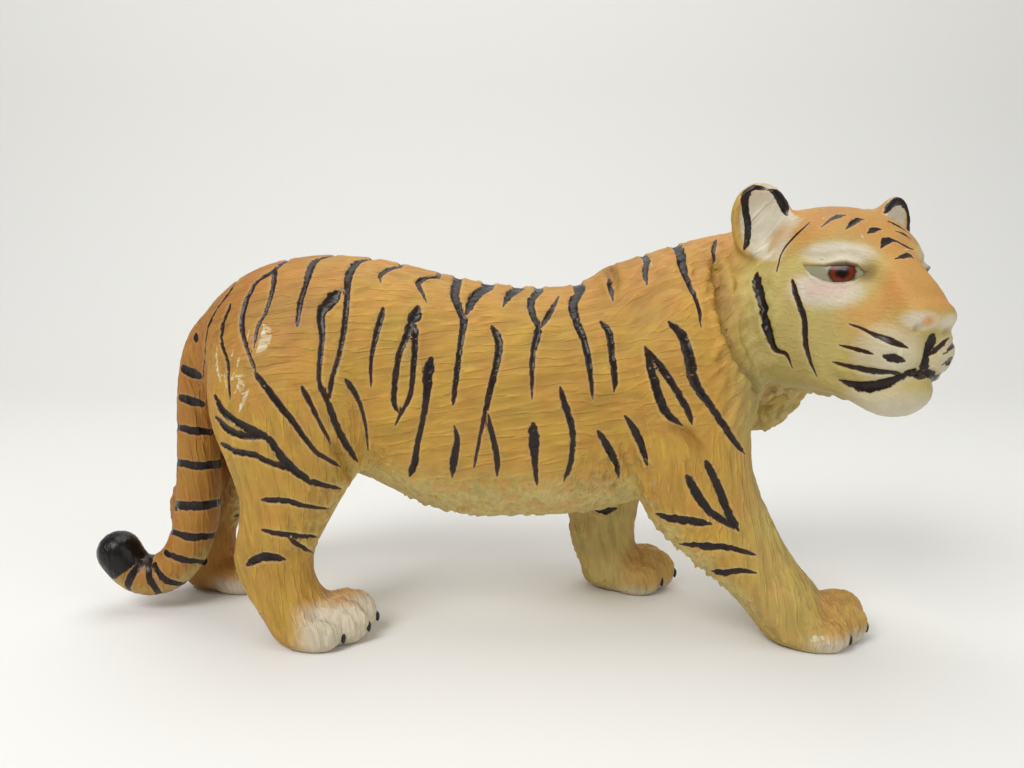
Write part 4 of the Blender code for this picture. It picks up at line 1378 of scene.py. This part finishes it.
    faded = add(tree, "ShaderNodeMapRange", {"Value": edge}, {1: -0.3 * MM, 2: 0.0, 3: 0.0, 4: 0.6})
    browner = add(
        tree, "ShaderNodeMath", {0: browned.outputs["Value"], 1: faded.outputs["Result"]},
        operation="ADD",
    )
    bare_of_tip = add(
        tree, "ShaderNodeMapRange", {"Value": dipped.outputs["Result"]}, {3: 0.6, 4: 0.0},
    )
    brown = add(
        tree, "ShaderNodeMath", {0: browner.outputs["Value"], 1: bare_of_tip.outputs["Result"]},
        operation="MULTIPLY",
    )
    black = add(tree, "ShaderNodeMix", {0: brown.outputs["Value"]},
                {6: (*colours.stripe, 1), 7: (*colours.thin_stripe, 1)}, data_type="RGBA")
    finished = add(
        tree, "ShaderNodeMix", {0: stripe, 6: rimmed.outputs[2], 7: black.outputs[2]},
        data_type="RGBA",
    )
    tree.links.new(finished.outputs[2], shader.inputs["Base Color"])
    satin = add(
        tree, "ShaderNodeMapRange", {"Value": patches.outputs[0]},
        {1: 0.3, 2: 0.7, 3: 0.5, 4: 0.64},
    )
    gloss = add(tree, "ShaderNodeMix", {0: stripe, 2: satin.outputs["Result"]}, {3: 0.30})
    tree.links.new(gloss.outputs[0], shader.inputs["Roughness"])
    grain = add(tree, "ShaderNodeTexNoise", {"Vector": place}, {"Scale": 3200.0, "Detail": 2.0})
    fine = add(tree, "ShaderNodeMath", {0: grain.outputs[0]}, {1: 0.25}, operation="MULTIPLY")
    rough = add(
        tree, "ShaderNodeMath", {0: hairs.outputs["Value"], 1: fine.outputs["Value"]},
        operation="ADD",
    )
    filled = add(tree, "ShaderNodeMapRange", {"Value": stripe}, {3: 1.0, 4: 0.3})
    level = add(
        tree, "ShaderNodeMath", {0: rough.outputs["Value"], 1: filled.outputs["Result"]},
        operation="MULTIPLY",
    )
    bump = add(
        tree, "ShaderNodeBump", {"Height": level.outputs["Value"]},
        {"Strength": 0.8, "Distance": 0.2 * MM},
    )
    tree.links.new(bump.outputs["Normal"], shader.inputs["Normal"])
    return material


class TIGER_OT_skin(bpy.types.Operator):
    """Makes the skin with its engraved fur and sunken stripes"""

    bl_idname = "tiger.skin"
    bl_label = "Skin"

    def execute(self, context):
        form = context.scene.tiger_form
        colours = context.scene.tiger_paint
        material = painted_vinyl(colours, form)
        clay = clay_copy("tiger_skin")
        skin = Skin(clay.data)
        frames = eye_frames(skin)
        painted = all_stripes(skin, form.stripe_depth)
        rubbed = [(on_skin(skin, points), 0.0) for points in WORN_PATCHES]
        pressed = [(on_skin(skin, points), form.fold_depth) for points in FOLDS]
        folds = stroke_lines("fold_lines", pressed)
        mark_locks(clay.data)
        lock = link("lock", lock_mesh(form.lock_length, form.lock_length * LOCK_WIDTH))
        use_tree(clay, lock_tree(), {
            "Lock": lock, "Spacing": form.lock_spacing, "Seed": LOCK_SEED, "Finish": material,
        })
        remade(clay, form.voxel, 1)
        hair = hair_tree()
        sink = stroke_tree("Sunken stripes", "stripe")
        mark = stroke_tree("Worn paint", "worn")
        for name, values in hair_shares(*places_of(clay.data)).items():
            keep(clay.data, name, values)
        use_tree(clay, hair, {"Depth": form.hair_depth, "Spacing": form.hair_spacing})
        crease = stroke_tree("Folds", "fold")
        use_tree(clay, crease, {"Strokes": folds, "Depth": 1.0, "Edge": FOLD_EDGE * MM})
        skin = Skin(clay.data)
        stripes = stroke_lines("stripe_strokes", laid_on(skin, painted))
        worn = stroke_lines("worn_strokes", laid_on(skin, rubbed))
        use_tree(clay, sink, {"Strokes": stripes, "Depth": 1.0, "Edge": STRIPE_EDGE * MM})
        count = sum(len(face.vertices) - 2 for face in clay.data.polygons)
        thin = clay.modifiers.new("Fewer faces", "DECIMATE")
        thin.ratio = min(1, form.triangles / count)
        settle(clay)
        eyes = [(place, radius) for place, _ in frames for radius in EYE_REACHES]
        refine(clay.data, [(from_head(MUZZLE), MUZZLE_REACH), *eyes])
        places, _ = places_of(clay.data)
        places = part_toes(cut_eyes(touch_head(places), frames))
        places[:, 2] = np.maximum(places[:, 2], 0)
        move_to(clay.data, places)
        for name, values in hair_shares(*places_of(clay.data)).items():
            keep(clay.data, name, values)
        use_tree(clay, hair, {"Depth": 0.0, "Spacing": form.hair_spacing})
        use_tree(clay, sink, {"Strokes": stripes, "Depth": 0.0, "Edge": STRIPE_EDGE * MM})
        use_tree(clay, mark, {"Strokes": worn, "Depth": 0.0, "Edge": STRIPE_EDGE * MM})
        use_tree(clay, crease, {"Strokes": folds, "Depth": 0.0, "Edge": FOLD_EDGE * MM})
        paint_skin(clay.data, colours, frames)
        clay.data.shade_smooth()
        clay.data.materials.clear()
        clay.data.materials.append(material)
        for helper in (lock, folds, stripes, worn):
            bpy.data.objects.remove(helper)
        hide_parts(SOLID)
        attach(clay, BODY)
        return {"FINISHED"}


def eye_paint(colours):
    """Glossy painted eye: an off-white ball darkened with painted shade, a ring of painted shade
    round the red-brown iris, a black pupil and a painted highlight.
    """
    material = bpy.data.materials.new("glossy_painted_eye")
    material.use_nodes = True
    tree = material.node_tree
    shader = tree.nodes["Principled BSDF"]
    shader.inputs["Roughness"].default_value = 0.16
    shader.inputs["Specular IOR Level"].default_value = 0.25
    place = add(tree, "ShaderNodeTexCoord").outputs["Object"]
    rings = []
    for name in ("pupil_at", "light_at"):
        centre = add(tree, "ShaderNodeAttribute", attribute_name=name)
        rings.append(add(
            tree, "ShaderNodeVectorMath", {0: place, 1: centre.outputs["Vector"]},
            operation="DISTANCE",
        ))
    away = rings[0].outputs["Value"]
    veins = add(tree, "ShaderNodeTexNoise", {"Vector": place}, {"Scale": 1500.0, "Detail": 3.0})
    uneven = add(
        tree, "ShaderNodeMapRange", {"Value": veins.outputs[0]},
        {1: 0.3, 2: 0.7, 3: -0.12 * MM, 4: 0.12 * MM},
    )
    ragged = add(tree, "ShaderNodeMath", {0: away, 1: uneven.outputs["Result"]}, operation="ADD")
    ramp = add(
        tree, "ShaderNodeMapRange", {"Value": ragged.outputs["Value"]}, {1: 0.0, 2: 2.0 * MM},
    )
    stops = add(tree, "ShaderNodeValToRGB", {"Fac": ramp.outputs["Result"]})
    dark_iris = tuple(c * 0.35 for c in colours.iris)
    bright_iris = tuple(min(1, c * 1.2) for c in colours.iris)
    # Pupil, iris, a ring of painted shade round the iris, and the white darkened with painted
    # shade.
    table = (
        (0.0, PUPIL), (0.30, PUPIL), (0.42, (*dark_iris, 1)), (0.55, (*bright_iris, 1)),
        (0.72, (*colours.iris, 1)), (0.80, (*dark_iris, 1)), (0.86, (*linear(EYE_SHADE), 1)),
        (1.0, (*linear(SHADED_EYE_WHITE), 1)),
    )
    ramp_points = stops.color_ramp.elements
    for i, (at, colour) in enumerate(table):
        point = ramp_points[i] if i < 2 else ramp_points.new(at)
        point.position = at
        point.color = colour
    # A painted highlight: a pale dot in the pupil.
    light = add(
        tree, "ShaderNodeMapRange", {"Value": rings[1].outputs["Value"]},
        {1: 0.2 * MM, 2: 0.12 * MM},
    )
    lit = add(
        tree, "ShaderNodeMix", {0: light.outputs["Result"], 6: stops.outputs["Color"]},
        {7: (0.9, 0.9, 0.9, 1)}, data_type="RGBA",
    )
    tree.links.new(lit.outputs[2], shader.inputs["Base Color"])
    return material


class TIGER_OT_eyes(bpy.types.Operator):
    """Sets the painted eyes in their openings"""

    bl_idname = "tiger.eyes"
    bl_label = "Eyes"

    def execute(self, context):
        colours = context.scene.tiger_paint
        solid = clay_copy("eye_guide")
        frames = eye_frames(Skin(solid.data))
        bpy.data.objects.remove(solid)
        form = bmesh.new()
        centres, lights = [], []
        for place, axes in frames:
            ball = bmesh.ops.create_icosphere(form, subdivisions=5, radius=1)["verts"]
            along, up, out = (Vector(a) for a in axes)
            middle = place + along * EYE_BALL_ALONG - out * EYE_BALL_IN
            long, tall, thick = EYE_BALL
            for vertex in ball:
                a, b, c = vertex.co
                vertex.co = (middle + along * a * long + up * b * tall + out * c * thick) * MM
            centres += [place * MM] * len(ball)
            lights += [(place + up * LIGHT_UP - along * LIGHT_BACK) * MM] * len(ball)
        bmesh.ops.recalc_face_normals(form, faces=form.faces)
        mesh = bpy.data.meshes.new("tiger_eyes")
        form.to_mesh(mesh)
        form.free()
        keep(mesh, "pupil_at", centres, "FLOAT_VECTOR")
        keep(mesh, "light_at", lights, "FLOAT_VECTOR")
        mesh.shade_smooth()
        mesh.materials.append(eye_paint(colours))
        eyes = link("tiger_eyes", mesh)
        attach(eyes, BODY)
        return {"FINISHED"}


def claw_mesh(long):
    """One claw: flat at the sides, round above and drawn to a point."""
    form = bmesh.new()
    bmesh.ops.create_uvsphere(form, u_segments=20, v_segments=12, radius=1)
    for vertex in form.verts:
        x, y, z = vertex.co
        share = (x + 1) / 2
        slim = 1 - 0.4 * share ** 2
        vertex.co = (
            x * long / 2, y * 0.25 * long * slim, z * 0.27 * long * slim - 0.12 * long * share ** 2,
        )
    mesh = bpy.data.meshes.new("claw")
    form.to_mesh(mesh)
    form.free()
    mesh.shade_smooth()
    return mesh


def claw_tree():
    """A geometry tree that sets a claw on each toe, along the way that it points."""
    tree, start, end = new_tree(
        "Claws", {"Claw": "NodeSocketObject", "Finish": "NodeSocketMaterial"},
    )
    way = add(
        tree, "GeometryNodeInputNamedAttribute", values={"Name": "way"}, data_type="FLOAT_VECTOR",
    )
    aim = add(tree, "FunctionNodeAxesToRotation", {"Primary Axis": way.outputs["Attribute"]},
              {"Secondary Axis": (0.0, 1.0, 0.0)}, primary_axis="X", secondary_axis="Y")
    claw = add(tree, "GeometryNodeObjectInfo", {"Object": start.outputs["Claw"]})
    claws = add(tree, "GeometryNodeInstanceOnPoints", {
        "Points": start.outputs["Geometry"], "Instance": claw.outputs["Geometry"],
        "Rotation": aim.outputs["Rotation"],
    })
    real = add(tree, "GeometryNodeRealizeInstances", {"Geometry": claws.outputs["Instances"]})
    finished = add(
        tree, "GeometryNodeSetMaterial",
        {"Geometry": real.outputs["Geometry"], "Material": start.outputs["Finish"]},
    )
    tree.links.new(finished.outputs["Geometry"], end.inputs["Geometry"])
    return tree


def claw_paint(colours):
    """Black gloss paint: a small hard spot of light on each claw."""
    material = bpy.data.materials.new("black_claw_paint")
    material.use_nodes = True
    shader = material.node_tree.nodes["Principled BSDF"]
    shader.inputs["Base Color"].default_value = (*colours.stripe, 1)
    shader.inputs["Roughness"].default_value = 0.3
    return material


class TIGER_OT_claws(bpy.types.Operator):
    """Sets a painted claw on the end of each toe"""

    bl_idname = "tiger.claws"
    bl_label = "Claws"

    def execute(self, context):
        guide = clay_copy("claw_guide")
        skin = Skin(guide.data)
        bpy.data.objects.remove(guide)
        tips, ways = [], []
        for end, middle, outer, _ in PAWS.values():
            for across, set_back, height in TOES:
                start = Vector((
                    end - set_back + CLAW_SEARCH, middle + across * outer, CLAW_HEIGHT * height,
                )) + FRAME_SHIFT
                tip = skin.tree.ray_cast(start, Vector((-1, 0, 0)))[0]
                if tip is None or start.x - tip.x > CLAW_SEARCH_END:
                    raise RuntimeError("a toe has no end for its claw")
                tips.append(tuple((tip + CLAW_OFF) * MM))
                ways.append((CLAW_WAY[0], CLAW_WAY[1] * across * outer, CLAW_WAY[2]))
        mesh = bpy.data.meshes.new("tiger_claws")
        mesh.from_pydata(tips, [], [])
        keep(mesh, "way", ways, "FLOAT_VECTOR")
        claws = link("tiger_claws", mesh)
        material = claw_paint(context.scene.tiger_paint)
        claw = link("claw", claw_mesh(context.scene.tiger_form.claw_length))
        use_tree(claws, claw_tree(), {"Claw": claw, "Finish": material})
        bpy.data.objects.remove(claw)
        claws.data.shade_smooth()
        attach(claws, BODY)
        return {"FINISHED"}


class TIGER_OT_stage(bpy.types.Operator):
    """Sets the pale floor, the soft lamps and the camera"""

    bl_idname = "tiger.stage"
    bl_label = "Stage"

    def execute(self, context):
        scene = context.scene
        scene.view_settings.view_transform = "Standard"
        floor_paint = bpy.data.materials.new("pale_floor")
        floor_paint.use_nodes = True
        tree = floor_paint.node_tree
        shader = tree.nodes["Principled BSDF"]
        shader.inputs["Roughness"].default_value = 0.85
        shader.inputs["Base Color"].default_value = (*scene.tiger_paint.floor, 1)
        form = bmesh.new()
        profile = [(FLOOR_FRONT, 0.0), (FLOOR_BACK, 0.0)]
        for angle in np.linspace(0.1, math.pi / 2, 14):
            y = FLOOR_BACK + FLOOR_CURVE * math.sin(angle)
            profile.append((y, FLOOR_CURVE - FLOOR_CURVE * math.cos(angle)))
        profile.append((FLOOR_BACK + FLOOR_CURVE, WALL_TOP))
        rows = [
            [form.verts.new((side, y, z)) for y, z in profile]
            for side in (-FLOOR_HALF_WIDTH, FLOOR_HALF_WIDTH)
        ]
        for i in range(len(profile) - 1):
            form.faces.new((rows[0][i], rows[1][i], rows[1][i + 1], rows[0][i + 1]))
        mesh = bpy.data.meshes.new("floor")
        form.to_mesh(mesh)
        form.free()
        mesh.shade_smooth()
        mesh.materials.append(floor_paint)
        floor = link("floor", mesh)
        world = bpy.data.worlds.new("soft_room")
        world.use_nodes = True
        background = world.node_tree.nodes["Background"]
        background.inputs["Color"].default_value = (*linear(ROOM_COLOUR), 1)
        background.inputs["Strength"].default_value = ROOM_STRENGTH
        scene.world = world
        for name, place, size, power in LAMPS:
            lamp = bpy.data.lights.new(name, "AREA")
            lamp.size = size
            lamp.energy = power
            holder = bpy.data.objects.new(name, lamp)
            holder.location = place
            aim = LAMP_AIM - Vector(place)
            holder.rotation_euler = aim.to_track_quat("-Z", "Y").to_euler()
            scene.collection.objects.link(holder)
        lens = bpy.data.cameras.new("camera")
        lens.sensor_width = SENSOR_WIDTH
        lens.lens = SENSOR_WIDTH * FOCAL_PIXELS / IMAGE_WIDTH
        lens.clip_start = 0.01
        camera = bpy.data.objects.new("camera", lens)
        camera.location = CAMERA_PLACE * MM
        camera.rotation_euler = CAMERA_TURN
        scene.collection.objects.link(camera)
        scene.camera = camera
        return {"FINISHED"}


class TIGER_PT_panel(bpy.types.Panel):
    """The tiger's steps and settings"""

    bl_label = "Tiger"
    bl_idname = "TIGER_PT_panel"
    bl_space_type = "VIEW_3D"
    bl_region_type = "UI"
    bl_category = "Tiger"

    def draw(self, context):
        for step in STEPS:
            self.layout.operator(step.bl_idname)
        for group in (context.scene.tiger_form, context.scene.tiger_paint):
            for name in group.__annotations__:
                self.layout.prop(group, name)


SETTINGS = (TigerFormSettings, TigerPaintSettings)
STEPS = (TIGER_OT_skin, TIGER_OT_eyes, TIGER_OT_claws, TIGER_OT_stage)


def register():
    """Adds the settings, the steps and the panel."""
    for part in (*SETTINGS, *STEPS, TIGER_PT_panel):
        bpy.utils.register_class(part)
    bpy.types.Scene.tiger_form = PointerProperty(type=TigerFormSettings)
    bpy.types.Scene.tiger_paint = PointerProperty(type=TigerPaintSettings)


def unregister():
    """Takes the settings, the steps and the panel away."""
    del bpy.types.Scene.tiger_form
    del bpy.types.Scene.tiger_paint
    for part in reversed((*SETTINGS, *STEPS, TIGER_PT_panel)):
        bpy.utils.unregister_class(part)


def main():
    """Makes every piece."""
    register()
    bpy.ops.tiger.skin()
    bpy.ops.tiger.eyes()
    bpy.ops.tiger.claws()
    bpy.ops.tiger.stage()


if __name__ == "__main__":
    main()
